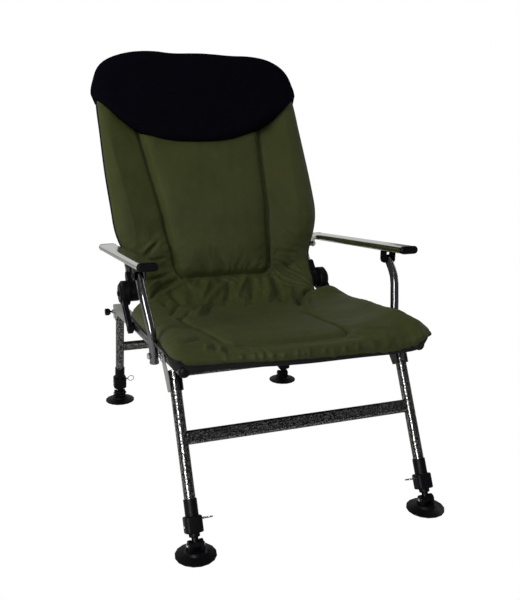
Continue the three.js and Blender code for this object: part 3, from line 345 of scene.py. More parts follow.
def dress(piece, *looks):
    piece.data.materials.clear()
    for look in looks:
        piece.data.materials.append(look.material)


def smoothAllOver(piece):
    choose(piece)
    bpy.ops.object.shade_smooth()


def settle(piece, node=None, body=None):
    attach(piece, body or bodyOf[node])
    if node:
        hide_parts(node)
    return piece


fineStyle = {"segments": 2, "edgeAngle": 32, "flatAngle": 1, "capAngle": 40, "trimAngle": 50}


def refined(node, look, slot, width):
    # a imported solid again, with its flat faces joined and its edges rounded by width metres
    source = frame["nodes"][node]
    piece = bpy.data.objects.new(node + "_fine", source.data.copy())
    bpy.context.scene.collection.objects.link(piece)
    choose(piece)
    bpy.ops.mesh.customdata_custom_splitnormals_clear()
    flat = math.radians(fineStyle["flatAngle"])
    edit(piece, merge, lambda: bpy.ops.mesh.dissolve_limited(angle_limit=flat))
    if width:
        modify(piece, "BEVEL", width=width, segments=fineStyle["segments"], limit_method="ANGLE",
               angle_limit=math.radians(fineStyle["edgeAngle"]))
    dress(piece, look)
    smooth(piece)
    return settle(piece, node)


def turned(name, profile, matrix, facets):
    # rings of [radius, height] in millimetres, extruded one from the other
    radius, height = profile[0]
    deselect()
    bpy.ops.mesh.primitive_circle_add(vertices=facets, radius=radius / 1000, fill_type="NGON",
                                      location=(0, 0, 0))
    piece = bpy.context.object
    piece.name = name
    bpy.ops.object.mode_set(mode="EDIT")
    bpy.ops.mesh.select_all(action="SELECT")
    bpy.ops.transform.translate(value=(0, 0, height / 1000))
    for nextRadius, nextHeight in profile[1:]:
        bpy.ops.mesh.extrude_region_move(
            TRANSFORM_OT_translate={"value": (0, 0, (nextHeight - height) / 1000)})
        bpy.ops.transform.resize(value=(nextRadius / radius, nextRadius / radius, 1),
                                 center_override=(0, 0, nextHeight / 1000))
        radius, height = nextRadius, nextHeight
    bpy.ops.mesh.select_all(action="SELECT")
    facesOut()
    bpy.ops.object.mode_set(mode="OBJECT")
    piece.data.transform(matrix)
    return piece


def tube(name, points, radius, facets):
    curve = bpy.data.curves.new(name, "CURVE")
    curve.dimensions = "3D"
    curve.bevel_depth = radius / 1000
    curve.bevel_resolution = facets // 4 - 1
    curve.use_fill_caps = True
    spline = curve.splines.new("POLY")
    spline.points.add(len(points) - 1)
    for point, p in zip(spline.points, points):
        point.co = (*spot(*p), 1)
    piece = bpy.data.objects.new(name, curve)
    bpy.context.scene.collection.objects.link(piece)
    choose(piece)
    bpy.ops.object.convert(target="MESH")
    piece = bpy.context.object
    edit(piece, lambda: merge(1e-5), facesOut)
    return piece


# The cover: one padded sheet from the front of the seat to the top of the back
coverStyle = {
    "rows": 370,
    "columns": 170,
    "underColumns": 20,
    "edgeCrowding": 1.12,  # above 1 the columns stand closer near the edges
    "foldsBefore": 0.6,
    "foldsAfter": 0.4,
    "seamsBefore": 0.3,
    "seamsAfter": 0.7,
    # the sheet's middle from the side, as y and z
    "path": [
        (84, 375), (72, 377), (63, 382), (60, 389), (66, 395), (90, 398), (140, 396), (230, 390), (340, 383),
        (450, 378), (520, 375), (570, 378), (610, 392), (642, 418), (668, 450), (688, 490), (702, 540),
        (714, 590), (730, 626), (788, 717), (845, 807), (906, 903), (967, 1000), (985, 1028),
    ],
    # half widths, by place along the cover, then by y, then by z
    "frontHalf": [(0, 262), (12, 270), (22, 279), (33, 288), (45, 294), (62, 299), (90, 300), (130, 299)],
    "sideHalf": [(160, 299), (195, 295), (215, 291), (255, 290), (285, 294), (330, 298), (480, 299),
                 (525, 291), (567, 248)],
    "backHalf": [(425, 249), (450, 256), (475, 265), (505, 277), (542, 291), (580, 299), (636, 302),
                 (720, 304), (820, 303), (900, 302), (960, 292), (1000, 268), (1028, 225)],
    "frontRows": 80,  # the front edge lies within these rows
    "backAtY": 620,  # the back starts here
}


def splinePath(points, steps=16):
    p = np.array([points[0], *points, points[-1]], float)
    out = []
    for i in range(1, len(p) - 2):
        for k in range(steps):
            t = k / steps
            a, b, c, d = p[i - 1], p[i], p[i + 1], p[i + 2]
            out.append(0.5 * (2 * b + (c - a) * t + (2 * a - 5 * b + 4 * c - d) * t * t
                              + (3 * b - a - 3 * c + d) * t ** 3))
    out.append(p[-1])
    return np.array(out)


def evenly(path, count):
    length = np.concatenate([[0], np.cumsum(np.hypot(*np.diff(path, axis=0).T))])
    marks = np.linspace(0, length[-1], count)
    return np.stack([np.interp(marks, length, path[:, k]) for k in (0, 1)], 1), marks


coverLine, coverMarks = evenly(splinePath(coverStyle["path"]), coverStyle["rows"] + 1)
lineStep = np.gradient(coverLine, axis=0)
lineStep /= np.hypot(*lineStep.T)[:, None]
coverNormal = np.stack([-lineStep[:, 1], lineStep[:, 0]], 1)
frontMost = int(np.argmin(coverLine[:coverStyle["frontRows"], 0]))
backFrom = int(np.argmax(coverLine[:, 0] > coverStyle["backAtY"]))


def markAtY(y):
    # the place along the cover, on the seat
    return float(np.interp(y, coverLine[frontMost:, 0], coverMarks[frontMost:]))


def markAtZ(z):
    # the place along the cover, on the back
    return float(np.interp(z, coverLine[backFrom:, 1], coverMarks[backFrom:]))


halfStops = (coverStyle["frontHalf"] + [(markAtY(y), h) for y, h in coverStyle["sideHalf"]]
             + [(markAtZ(z), h) for z, h in coverStyle["backHalf"]])
halfLine = splinePath(halfStops, 8)


def halfAt(s):
    return np.interp(s, halfLine[:, 0], halfLine[:, 1])


def bulge(distance, reach):
    # a quarter circle from 0 at the edge to 1 at reach
    return np.sqrt(np.clip(1 - (1 - np.clip(distance / reach, 0, 1)) ** 2, 0, 1))


def fade(value, low, high):
    t = np.clip((value - low) / (high - low), 0, 1)
    return t * t * (3 - 2 * t)


# How the cover departs from its plain line
setStyle = {
    "bow": 8,  # the front edge's middle lies this far forward of its sides
    "liftRight": 26,
    "liftLeft": 6,
    "tilt": 0.04,
    "cornerX": 4,
    "cornerY": 7,
    "cornerZ": 3,
    "hub": 36,  # the waist's edges pass this far in front of the hubs
    "hubZ": 418,
    "hubReach": 38,
    "backShift": -1.5,
}


def frontSet(x, y, z):
    # the seat's front edge bows forward in the middle and lifts towards its corners, most on the right
    s = setStyle
    near = 1 - fade(y, 80, 280)
    low = 1 - fade(z, 384, 404)
    bow = s["bow"] * (x / 200) ** 2 * (1 - fade(np.abs(x), 200, 296))
    rise = (s["liftRight"] * fade(x, 190, 300) + s["liftLeft"] * fade(-x, 225, 300)) * fade(z, 366, 382)
    corner = fade(x, 232, 300) * (1 - fade(y, 90, 160))
    hub = (s["hub"] * fade(np.abs(x), 190, 246) * np.exp(-((z - s["hubZ"]) / s["hubReach"]) ** 2)
           * fade(y, 560, 590))
    return (x + s["cornerX"] * corner, y + bow * near - s["cornerY"] * corner - hub,
            z + (rise - s["tilt"] * x) * near * low + s["cornerZ"] * corner)


def backShift(z):
    # the cover is pulled on a little to the left
    return setStyle["backShift"] * fade(z, 500, 760)


def panelDistance(x, s, low, high, lowHalf, highHalf, radius, lowX=0, highX=0):
    # to a rounded panel's seam, below zero inside
    share = np.clip((s - low) / (high - low), 0, 1)
    half = lowHalf + (highHalf - lowHalf) * share
    qx = np.abs(x - lowX - (highX - lowX) * share) - (half - radius)
    qs = np.abs(s - (low + high) / 2) - ((high - low) / 2 - radius)
    return np.hypot(np.maximum(qx, 0), np.maximum(qs, 0)) + np.minimum(np.maximum(qx, qs), 0) - radius


def waves(seed, x, s, size, count=14):
    rng = np.random.default_rng(seed)
    total = 0
    for _ in range(count):
        angle, phase = rng.uniform(0, math.pi), rng.uniform(0, 2 * math.pi)
        pitch = size * rng.uniform(0.6, 1.6)
        total = total + np.sin(2 * math.pi * (x * math.cos(angle) + s * math.sin(angle)) / pitch + phase)
    return total / math.sqrt(count)


seatPanel = {"low": markAtY(112), "high": markAtY(378), "lowHalf": 146, "highHalf": 162, "radius": 24,
             "lowX": -24, "highX": -48}
backPanel = {"low": markAtZ(428), "high": markAtZ(900), "lowHalf": 134, "highHalf": 190, "radius": 30,
             "lowX": -2, "highX": -17}
# Padding by place along the cover, above its middle sheet and below it
padStops = {
    "top": [(0, 2), (15, 5), (32, 10), (48, 15), (75, 22), (130, 29), (markAtY(340), 28),
            (markAtY(500), 24), (markAtY(560), 12), (markAtZ(430), 9), (markAtZ(470), 14),
            (markAtZ(540), 20), (markAtZ(900), 20), (markAtZ(1028), 12)],
    "under": [(0, 2), (30, 5), (70, 8), (160, 9), (markAtY(240), 13), (markAtY(520), 15),
              (markAtZ(440), 7), (markAtZ(500), 9), (markAtZ(600), 14), (markAtZ(900), 14),
              (markAtZ(1028), 8)],
}
padStyle = {
    "edge": 40,  # the padding rounds off over this width
    "underEdge": 30,
    "sag": 19,
    "sagHalf": 218,
    "seatPanel": 5,
    "backPanel": 15,
    "sideRoll": 14,
    "shoulder": 4,
    "shoulderFall": 19,
    "waistY": 505,
    "waistRight": 17,
    "waistLeft": 15,
    "neck": 12,  # hollow where the headrest's hem ties the back in
}
seamStyle = {"seatDepth": 7, "seatWidth": 6.5, "backDepth": 9, "backWidth": 7}

# Creases and rolls: points as place across and place along the cover, then width and height
foldHeight = 1.25  # all of them times this
folds = [
    ([(-133, 638), (-161, 627), (-188, 616), (-213, 602), (-230, 584)], 7, -8),
    ([(-115, 631), (-141, 616), (-172, 602), (-208, 580)], 8, 5),
    ([(-146, 663), (-173, 656), (-196, 649), (-233, 652)], 5.5, -7),
    ([(-156, 645), (-194, 634), (-232, 627)], 7, 4),
    ([(-169, 706), (-197, 703), (-226, 699)], 4, -4),
    ([(-186, 753), (-204, 739), (-221, 721), (-231, 714)], 4.5, -5),
    ([(-194, 757), (-215, 743), (-235, 725)], 5, 4),
    ([(-247, 490), (-229, 479), (-216, 476), (-216, 443)], 6, -7),
    ([(-223, 371), (-196, 436), (-177, 476)], 4.5, -5),
    ([(-192, 360), (-156, 436)], 4, -3.5),
    ([(-169, 606), (-161, 566), (-152, 537)], 12, -6),
    ([(-3, 624), (-34, 588), (-65, 559), (-100, 505), (-160, 364)], 9, 8),
    ([(-56, 627), (-71, 595), (-89, 562)], 9, 7),
    ([(-86, 631), (-106, 609)], 6, 4),
    ([(-56, 551), (-100, 465), (-134, 371)], 10, -4),
    ([(9, 620), (-9, 573), (-45, 501)], 9, -6),
    ([(59, 634), (37, 598), (6, 548)], 8, 7),
    ([(29, 544), (-12, 433)], 6, 3),
    ([(121, 631), (110, 570), (70, 476)], 11, 8),
    ([(80, 627), (62, 577), (34, 497)], 10, -6),
    ([(147, 627), (135, 577), (134, 537), (119, 447)], 11, -9),
    ([(175, 566), (157, 526), (116, 418)], 9, 8),
    ([(237, 566), (205, 537), (171, 494), (134, 400)], 9, -13),
    ([(223, 508), (188, 469), (149, 396), (130, 321)], 8, 7),
    ([(153, 674), (183, 652), (206, 627), (237, 606)], 3.6, 4),
    ([(153, 652), (169, 620), (198, 595), (236, 573)], 4, 4.5),
    ([(144, 649), (155, 609), (177, 580), (221, 566)], 3.6, 4),
    ([(157, 688), (201, 678), (246, 681)], 3.6, 3),
    ([(164, 681), (206, 663), (238, 634)], 3.4, 4),
    ([(160, 663), (186, 642), (213, 613), (236, 588)], 3.4, -4),
    ([(147, 642), (166, 606), (196, 580)], 3.4, -4),
    ([(173, 692), (218, 681), (247, 685)], 3.2, -3.5),
    ([(172, 670), (204, 649), (234, 627)], 3.6, -5),
    ([(193, 768), (223, 746), (254, 725)], 4, 1.6),
    ([(169, 721), (212, 710), (253, 706)], 4, 1.6),
    ([(169, 706), (210, 699), (249, 692)], 4, -1.6),
    ([(138, 97), (175, 97), (222, 58)], 5, 3),
    ([(142, 90), (167, 65), (198, 32)], 5, 3.5),
    ([(138, 87), (150, 47), (178, 32)], 5, -2.5),
    ([(127, 76), (141, 40), (171, 32)], 5, 3),
    ([(-260, 90), (-237, 108), (-216, 123), (-203, 115), (-192, 105)], 6, -4.5),
    ([(-213, 83), (-224, 50)], 5, 4),
    ([(-196, 94), (-204, 50)], 5, -4.5),
    ([(-185, 76), (-196, 47)], 5, 4.5),
    ([(-175, 72), (-181, 43)], 5, -3.5),
    ([(-164, 68), (-144, 54), (-137, 36)], 4.5, 3),
    ([(-131, 79), (-118, 54), (-111, 32)], 4.5, 3),
    ([(-104, 76), (-94, 40), (-93, 32)], 4.5, 3.5),
    ([(-188, 43), (-189, 36), (-191, 32)], 4, 3),
    ([(-153, 43), (-155, 36), (-156, 29)], 4, 3),
    ([(-127, 40), (-129, 32), (-128, 29)], 4, 3),
    ([(-109, 40), (-111, 32), (-110, 29)], 4, 3),
    ([(-87, 40), (-89, 32), (-88, 29)], 4, 3),
    ([(-64, 36), (-64, 32), (-63, 29)], 4, 3),
    ([(-31, 40), (-34, 32), (-34, 29)], 4, 3),
    ([(-19, 36), (-19, 32), (-19, 29)], 4, 3),
    ([(-4, 40), (-8, 32), (-4, 29)], 4, 3),
    ([(30, 36), (30, 32), (30, 29)], 4, 3),
    ([(49, 36), (49, 32), (63, 4)], 4, 3),
    ([(79, 36), (78, 32), (81, 29)], 4, 3),
    ([(112, 36), (111, 32), (110, 29)], 4, 3),
    ([(147, 32), (165, 7)], 4, 3),
    ([(171, 32), (189, 4)], 4, 3),
    ([(181, 32), (194, 14)], 4, 3),
    ([(198, 32), (216, 7)], 4, 3),
    ([(215, 32), (237, 0)], 4, 3),
    ([(234, 32), (256, 0)], 4, 3),
    ([(251, 36), (253, 32), (265, 7)], 4, 3),
    ([(277, 47), (269, 36), (270, 32)], 4, 3),
    ([(297, 61), (294, 50), (286, 36)], 4, 3),
]


def crease(x, s, points, width, height):
    p = np.array(points, float)
    best, along, passed = np.full(np.shape(x), 1e6), np.zeros(np.shape(x)), 0.0
    for a, b in zip(p, p[1:]):
        run = b - a
        long = math.hypot(*run)
        share = np.clip(((x - a[0]) * run[0] + (s - a[1]) * run[1]) / long ** 2, 0, 1)
        gap = np.hypot(x - a[0] - share * run[0], s - a[1] - share * run[1])
        closer = gap < best
        best, along = np.where(closer, gap, best), np.where(closer, passed + share * long, along)
        passed += long
    taper = np.sin(np.pi * np.clip(along / passed, 0.02, 0.98)) ** 0.6
    return height * np.exp(-(best / width) ** 2) * taper


def padLift(x, s):
    p = padStyle
    edge = bulge(halfAt(s) - np.abs(x), p["edge"])
    seat = panelDistance(x, s, **seatPanel)
    back = panelDistance(x, s, **backPanel)
    lift = np.interp(s, *zip(*padStops["top"])) * edge
    onSeat = 1 - fade(s, markAtY(540), markAtY(600))
    # the seat sags in the middle, and its side rolls stand up
    sag = p["sag"] * np.exp(-((x / p["sagHalf"]) ** 4)) * onSeat * fade(s, 26, 72)
    lift = lift - sag + p["seatPanel"] * bulge(-seat, 40) + p["backPanel"] * bulge(-back, 40)
    lift = lift + (p["sideRoll"] * np.exp(-((x - 268) / 30) ** 2) * fade(s, 30, 70)
                   * (1 - fade(s, markAtY(230), markAtY(520))))
    # the back's shoulders slope down to the panel's seam
    slope = np.clip(1 - np.maximum(back, 0) / 92, 0, 1)
    lift = lift + ((p["shoulder"] - p["shoulderFall"] * slope ** 0.85)
                   * fade(s, markAtZ(490), markAtZ(580)) * edge)
    # the waist is rolled up at both sides
    roll = np.exp(-((s - markAtY(p["waistY"])) / 52) ** 2)
    lift = (lift + p["waistRight"] * roll * np.exp(-((x - 248) / 42) ** 2)
            + p["waistLeft"] * roll * np.exp(-((x + 250) / 40) ** 2))
    lift = lift + 0.9 * waves(2, x, s, 110) * edge + 0.35 * waves(3, x, s, 34) * edge
    neck = p["neck"] * fade(s, markAtZ(812), markAtZ(850)) * (1 - fade(np.abs(x), 190, 235)) * edge
    return lift - neck


def foldLift(x, s):
    lift = 0.0
    for points, width, height in folds:
        lift = lift + foldHeight * crease(x, s, points, width, height)
    return lift


def seamLift(x, s):
    p = seamStyle
    seat = panelDistance(x, s, **seatPanel)
    back = panelDistance(x, s, **backPanel)
    return (-p["seatDepth"] * np.exp(-(seat / p["seatWidth"]) ** 2)
            - p["backDepth"] * np.exp(-(back / p["backWidth"]) ** 2))


def coverLift(x, s):
    edge = bulge(halfAt(s) - np.abs(x), padStyle["edge"])
    return np.maximum(padLift(x, s) + foldLift(x, s) + seamLift(x, s), 1.5 * edge)


def places(piece):
    spots = np.zeros(len(piece.data.vertices) * 3, np.float32)
    piece.data.vertices.foreach_get("co", spots)
    return spots.reshape(-1, 3).astype(float)


def place(piece, spots):
    piece.data.vertices.foreach_set("co", spots.astype(np.float32).ravel())


def weigh(piece, name, weights):
    # twenty steps of weight are fine enough
    group = piece.vertex_groups.new(name=name)
    steps = np.rint(np.clip(weights, 0, 1) * 20).astype(int)
    for step in np.unique(steps):
        if step:
            group.add(np.flatnonzero(steps == step).tolist(), step / 20, "REPLACE")


def puffUp(piece, held, tight, keep, style):
    # cloth a little too large for its seams, with air behind it
    before = places(piece)
    weigh(piece, "held", held)
    weigh(piece, "tight", tight)
    choose(piece)
    modifier = piece.modifiers.new("cloth", "CLOTH")
    cloth = modifier.settings
    cloth.vertex_group_mass = "held"
    cloth.vertex_group_shrink = "tight"
    cloth.shrink_min = -style["spare"]
    cloth.shrink_max = -style["spare"] * style["tightShare"]
    cloth.use_pressure = True
    cloth.uniform_pressure_force = style["pressure"]
    cloth.effector_weights.gravity = 0
    cloth.quality = style["quality"]
    cloth.mass = style["mass"]
    cloth.tension_stiffness = cloth.compression_stiffness = style["stiffness"]
    cloth.shear_stiffness = style["stiffness"] / 3
    cloth.bending_stiffness = style["bending"]
    modifier.collision_settings.use_collision = False
    modifier.point_cache.frame_end = style["frames"]
    for number in range(1, style["frames"] + 1):
        bpy.context.scene.frame_set(number)
    bpy.ops.object.modifier_apply(modifier="cloth")
    bpy.context.scene.frame_set(1)
    piece.vertex_groups.clear()
    moved = (places(piece) - before) * keep[:, None]
    far = np.linalg.norm(moved, axis=1, keepdims=True)
    moved *= np.minimum(1, style["cap"] / 1000 / np.maximum(far, 1e-9))
    place(piece, before + moved)
    print("puffed", piece.name, round(float(far.max()) * 1000, 1), "mm at most")


def ringSheet(name, rows, columns, placeAt):
    # a closed pad: a grid whose first and last columns meet, with both ends filled
    deselect()
    bpy.ops.mesh.primitive_grid_add(x_subdivisions=columns, y_subdivisions=rows, size=1)
    piece = bpy.context.object
    piece.name = name
    grid = places(piece)
    column = np.rint((grid[:, 0] + 0.5) * columns).astype(int) % columns
    row = np.rint((grid[:, 1] + 0.5) * rows).astype(int)
    where, flat = placeAt(row, column)
    place(piece, where)
    corner = cornerPoints(piece)
    piece.data.uv_layers.active.data.foreach_set("uv", flat[corner].astype(np.float32).ravel())
    edit(piece, merge)
    choose(piece)
    bpy.ops.object.mode_set(mode="EDIT")
    bpy.ops.mesh.select_mode(type="EDGE")
    bpy.ops.mesh.select_all(action="DESELECT")
    bpy.ops.mesh.select_non_manifold(extend=False)
    bpy.ops.mesh.fill_holes(sides=0)
    bpy.ops.mesh.select_all(action="SELECT")
    facesOut()
    bpy.ops.object.mode_set(mode="OBJECT")
    return piece


def cornerPoints(piece):
    # the point at each corner of each face
    corner = np.zeros(len(piece.data.loops), np.int32)
    piece.data.loops.foreach_get("vertex_index", corner)
    return corner


def ringShares(column, wide, under, crowding):
    # from one edge over the top to the other and back below, with closer columns near the edges
    top = np.linspace(-1, 1, wide + 1)
    top = np.sign(top) * (1 - (1 - np.abs(top)) ** crowding)
    below = np.linspace(1, -1, under + 2)[1:-1]
    return np.concatenate([top, below])[column], column > wide


def coverPlaces(row, column):
    share, isUnder = ringShares(column, coverStyle["columns"], coverStyle["underColumns"],
                                coverStyle["edgeCrowding"])
    s = coverMarks[row]
    x = share * halfAt(s)
    below = np.interp(s, *zip(*padStops["under"])) * bulge(halfAt(s) - np.abs(x), padStyle["underEdge"])
    # part of the folds and seams is there before the cloth moves, the rest comes after
    above = (padLift(x, s) + coverStyle["foldsBefore"] * foldLift(x, s)
             + coverStyle["seamsBefore"] * seamLift(x, s))
    lift = np.where(isUnder, -below, above)
    y = coverLine[row, 0] + coverNormal[row, 0] * lift
    z = coverLine[row, 1] + coverNormal[row, 1] * lift
    x, y, z = frontSet(x, y, z)
    where = np.stack([(x + backShift(z)) / 1000, pinLine + y / 1000, z / 1000], 1)
    return where, np.stack([x / 1000, s / 1000], 1)


cover = ringSheet("cover", coverStyle["rows"], coverStyle["columns"] + 1 + coverStyle["underColumns"],
                  coverPlaces)

# Where each of its points lies on the flat cover, and how far above the middle sheet
corner = cornerPoints(cover)
flat = np.zeros(len(corner) * 2, np.float32)
cover.data.uv_layers.active.data.foreach_get("uv", flat)
onCover = np.zeros((len(cover.data.vertices), 2))
onCover[corner] = flat.reshape(-1, 2) * 1000
coverX, coverS = onCover.T
rowNow = np.clip(np.searchsorted(coverMarks, coverS), 0, coverStyle["rows"])
spots = places(cover)
sheetLift = (((spots[:, 1] - pinLine) * 1000 - coverLine[rowNow, 0]) * coverNormal[rowNow, 0]
             + (spots[:, 2] * 1000 - coverLine[rowNow, 1]) * coverNormal[rowNow, 1])
behind = sheetLift < 0

# The cloth is held at its edges, seams and ends, and loose and full at the waist
coverSim = {"frames": 20, "pressure": 2.5, "spare": 0.07, "tightShare": 0.15, "stiffness": 15, "bending": 0.6,
            "quality": 5, "mass": 0.25, "cap": 14, "edge": 6, "seam": 3, "hem": 14, "keep": 0.12,
            "keepAtWaist": 0.5}
toEdge = halfAt(coverS) - np.abs(coverX)
seatGap, backGap = panelDistance(coverX, coverS, **seatPanel), panelDistance(coverX, coverS, **backPanel)
held = np.maximum.reduce([behind * 1.0, toEdge < coverSim["edge"], np.abs(seatGap) < coverSim["seam"],
                          np.abs(backGap) < coverSim["seam"], coverS < coverSim["hem"],
                          coverS > markAtZ(788)])
shoulder = fade(coverS, markAtZ(520), markAtZ(600))
tight = np.maximum.reduce([0.85 * (backGap < 0), 0.7 * (seatGap < 0), 0.95 * shoulder,
                           0.45 * (coverS < markAtY(480))])
waistShare = fade(coverS, markAtY(420), markAtY(520)) * (1 - fade(coverS, markAtZ(500), markAtZ(560)))
keep = coverSim["keep"] + coverSim["keepAtWaist"] * waistShare
puffUp(cover, held, tight, keep, coverSim)
worked = (coverStyle["foldsAfter"] * foldLift(coverX, coverS)
          + coverStyle["seamsAfter"] * seamLift(coverX, coverS))
detail = np.where(behind, 0, worked) / 1000
spots = places(cover)
spots[:, 1] += coverNormal[rowNow, 0] * detail
spots[:, 2] += coverNormal[rowNow, 1] * detail
place(cover, spots)
dress(cover, greenCloth, blackWeb)
smoothAllOver(cover)
print("cover made", len(cover.data.polygons))

# Piping along both edges of the cover
pipingStyle = {"radius": 2.4, "facets": 8, "from": 26, "toZ": 1000, "points": 260, "out": 0.6}
pipes = []
for side in sides:
    points = []
    for mark in np.linspace(pipingStyle["from"], markAtZ(pipingStyle["toZ"]), pipingStyle["points"]):
        y, z = (float(np.interp(mark, coverMarks, coverLine[:, k])) for k in (0, 1))
        x = side * (float(halfAt(mark)) + pipingStyle["out"]) + float(backShift(z))
        points.append(tuple(map(float, frontSet(x, y, z))))
    pipe = tube("piping_" + sideName(side), points, pipingStyle["radius"], pipingStyle["facets"])
    dress(pipe, greenCloth, blackWeb)
    pipe.data.polygons.foreach_set("material_index", [1] * len(pipe.data.polygons))
    smoothAllOver(pipe)
    pipes.append(pipe)
choose(cover)
for pipe in pipes:
    pipe.select_set(True)
bpy.ops.object.join()
spot(0, 585, 400)
spot(0, 668, 452)
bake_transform(cover)
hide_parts("seat_cushion", "cover_waist", "back_cushion")

# The headrest: a fleece hood over the top of the back
hoodStyle = {
    "rows": 110,
    "columns": 150,
    "underColumns": 60,
    "edgeCrowding": 1.35,
    "half": [(780, 316), (860, 318), (910, 317), (950, 312), (985, 299), (1010, 277), (1028, 243),
             (1040, 202), (1046, 156)],
    "top": 1043,
    "low": 784,  # the lowest point of its smile
    "smileLeft": (122, 275, 2.9),  # rise, over this reach, curve
    "smileRight": (130, 330, 2.42),
    "smileHalf": 316,
    "smileShift": 28,
    "lowBehind": 850,
    "smileBehind": (60, 2.6),
    "front": 38,
    "behind": 24,
    "edge": 56,
    "topEdge": 50,
    "hem": 22,
    "clear": 1.5,  # it stays this far off the cover
    "leanBack": 0.845,  # height over length of the back
}
hoodLine = splinePath(hoodStyle["half"], 8)
slope = coverLine[-60] - coverLine[-90]
slope /= np.hypot(*slope)


def linePoint(z):
    # the back's middle sheet, carried on past its top
    y = np.interp(z, coverLine[backFrom:, 1], coverLine[backFrom:, 0])
    past = np.maximum(z - coverLine[-1, 1], 0)
    return y + past * slope[0] / slope[1]


def hoodPlaces(row, column):
    style = hoodStyle
    share, isUnder = ringShares(column, style["columns"], style["underColumns"], style["edgeCrowding"])
    t = row / style["rows"]
    off = share * style["smileHalf"] + style["smileShift"]
    riseLeft, reachLeft, curveLeft = style["smileLeft"]
    riseRight, reachRight, curveRight = style["smileRight"]
    smile = style["low"] + np.where(off < 0, riseLeft * (np.abs(off) / reachLeft) ** curveLeft,
                                    riseRight * (np.abs(off) / reachRight) ** curveRight)
    rise, curve = style["smileBehind"]
    smile = np.where(isUnder, style["lowBehind"] + rise * np.abs(share) ** curve, smile)
    topZ = style["top"] - 3 * share + 1.2 * np.sin(7 * share + 0.6)
    z = smile + (topZ - smile) * t
    ripple = 1.6 * np.sin(z / 13.0 + np.sign(share)) * np.abs(share) ** 6
    half = np.interp(z, hoodLine[:, 0], hoodLine[:, 1]) + ripple
    x = share * half
    s = z / style["leanBack"]
    edge = bulge(half - np.abs(x), style["edge"]) * bulge(topZ + 3 - z, style["topEdge"])
    hem = bulge(z - smile + 0.5, style["hem"])
    mark = np.interp(z, coverLine[backFrom:, 1], coverMarks[backFrom:])
    under = coverLift(x - backShift(z), mark) + style["clear"]
    front = style["front"] * edge + (1.4 * waves(21, x, s, 150) + 0.5 * waves(22, x, s, 60)) * edge
    front = np.maximum(under * (1 - hem) + front * hem, under * (z < 1000))
    lift = np.where(isUnder, -style["behind"] * edge, front)
    y = linePoint(z)
    ny, nz = -slope[1], slope[0]
    where = np.stack([x / 1000, pinLine + (y + ny * lift) / 1000, (z + nz * lift) / 1000], 1)
    return where, np.stack([x / 1000, s / 1000], 1)


headrest = ringSheet("headrest_hood", hoodStyle["rows"],
                     hoodStyle["columns"] + 1 + hoodStyle["underColumns"], hoodPlaces)
dress(headrest, fleece)
smoothAllOver(headrest)
settle(headrest, "headrest")
print("headrest made")

# Black trim under the seat's front edge
trimStyle = {
    "top": 382,
    "tall": [(-290, 20), (-180, 16), (-80, 15), (50, 13), (200, 11), (290, 9)],  # by x
    "thick": 3.2,
    "half": 292,
    "front": 57,
    "back": 205,
    "corner": 46,
    "endRise": 14,
    "endNarrowing": 0.6,
    "flare": 11,  # its upper edge stands out at the right front corner
    "flareUp": 5,
    # its section: out and down, in shares of its thickness and height
    "ring": [(0, 0), (0.6, -0.16), (0.9, -0.5), (0.5, -0.84), (-0.2, -1), (-0.8, -0.95), (-0.7, -0.5),
             (-0.6, 0)],
}


def trimOutline():
    # round the left side and corner to the middle of the front, then the same mirrored
    half, front, corner = (trimStyle[k] for k in ("half", "front", "corner"))
    flank = [(-half, y) for y in np.linspace(trimStyle["back"], front + corner, 16)]
    bend = [(-half + corner * (1 - math.cos(a)), front + corner * (1 - math.sin(a)))
            for a in np.linspace(0, math.pi / 2, 14)[1:]]
    edge = [(x, front) for x in np.linspace(-half + corner, 0, 30)[1:]]
    left = flank + bend + edge
    return np.array(left + [(-x, y) for x, y in left[-2::-1]])


trimLine = trimOutline()


def trimPlaces(row, column):
    style = trimStyle
    p = trimLine[row]
    step = np.gradient(trimLine, axis=0)
    step /= np.hypot(*step.T)[:, None]
    inward = np.stack([-step[:, 1], step[:, 0]], 1)[row]
    out, drop = np.array(style["ring"])[column].T
    end = fade(p[:, 1], 90, style["back"])
    tall = np.interp(p[:, 0], *zip(*style["tall"]))
    tall = tall * (1 - style["endNarrowing"] * fade(p[:, 1], 110, style["back"]))
    x = p[:, 0] - inward[:, 0] * out * style["thick"]
    y = p[:, 1] - inward[:, 1] * out * style["thick"]
    outer = fade(p[:, 0], 240, 290) * (1 + drop) * (1 - 0.8 * fade(p[:, 1], 105, 150))
    x = x + style["flare"] * outer
    z = (style["top"] + end * style["endRise"] + drop * tall + 0.8 * np.sin(row / 5.0)
         + style["flareUp"] * outer * fade(p[:, 1], 70, 130))
    x, y, z = frontSet(x, y, z)
    where = np.stack([x / 1000, pinLine + y / 1000, z / 1000], 1)
    return where, np.stack([row / 100, drop * 0.02], 1)


trim = ringSheet("seat_trim", len(trimLine) - 1, len(trimStyle["ring"]), trimPlaces)
dress(trim, blackWeb)
smooth(trim, fineStyle["trimAngle"], False)
settle(trim, body="seat")
print("trim made")

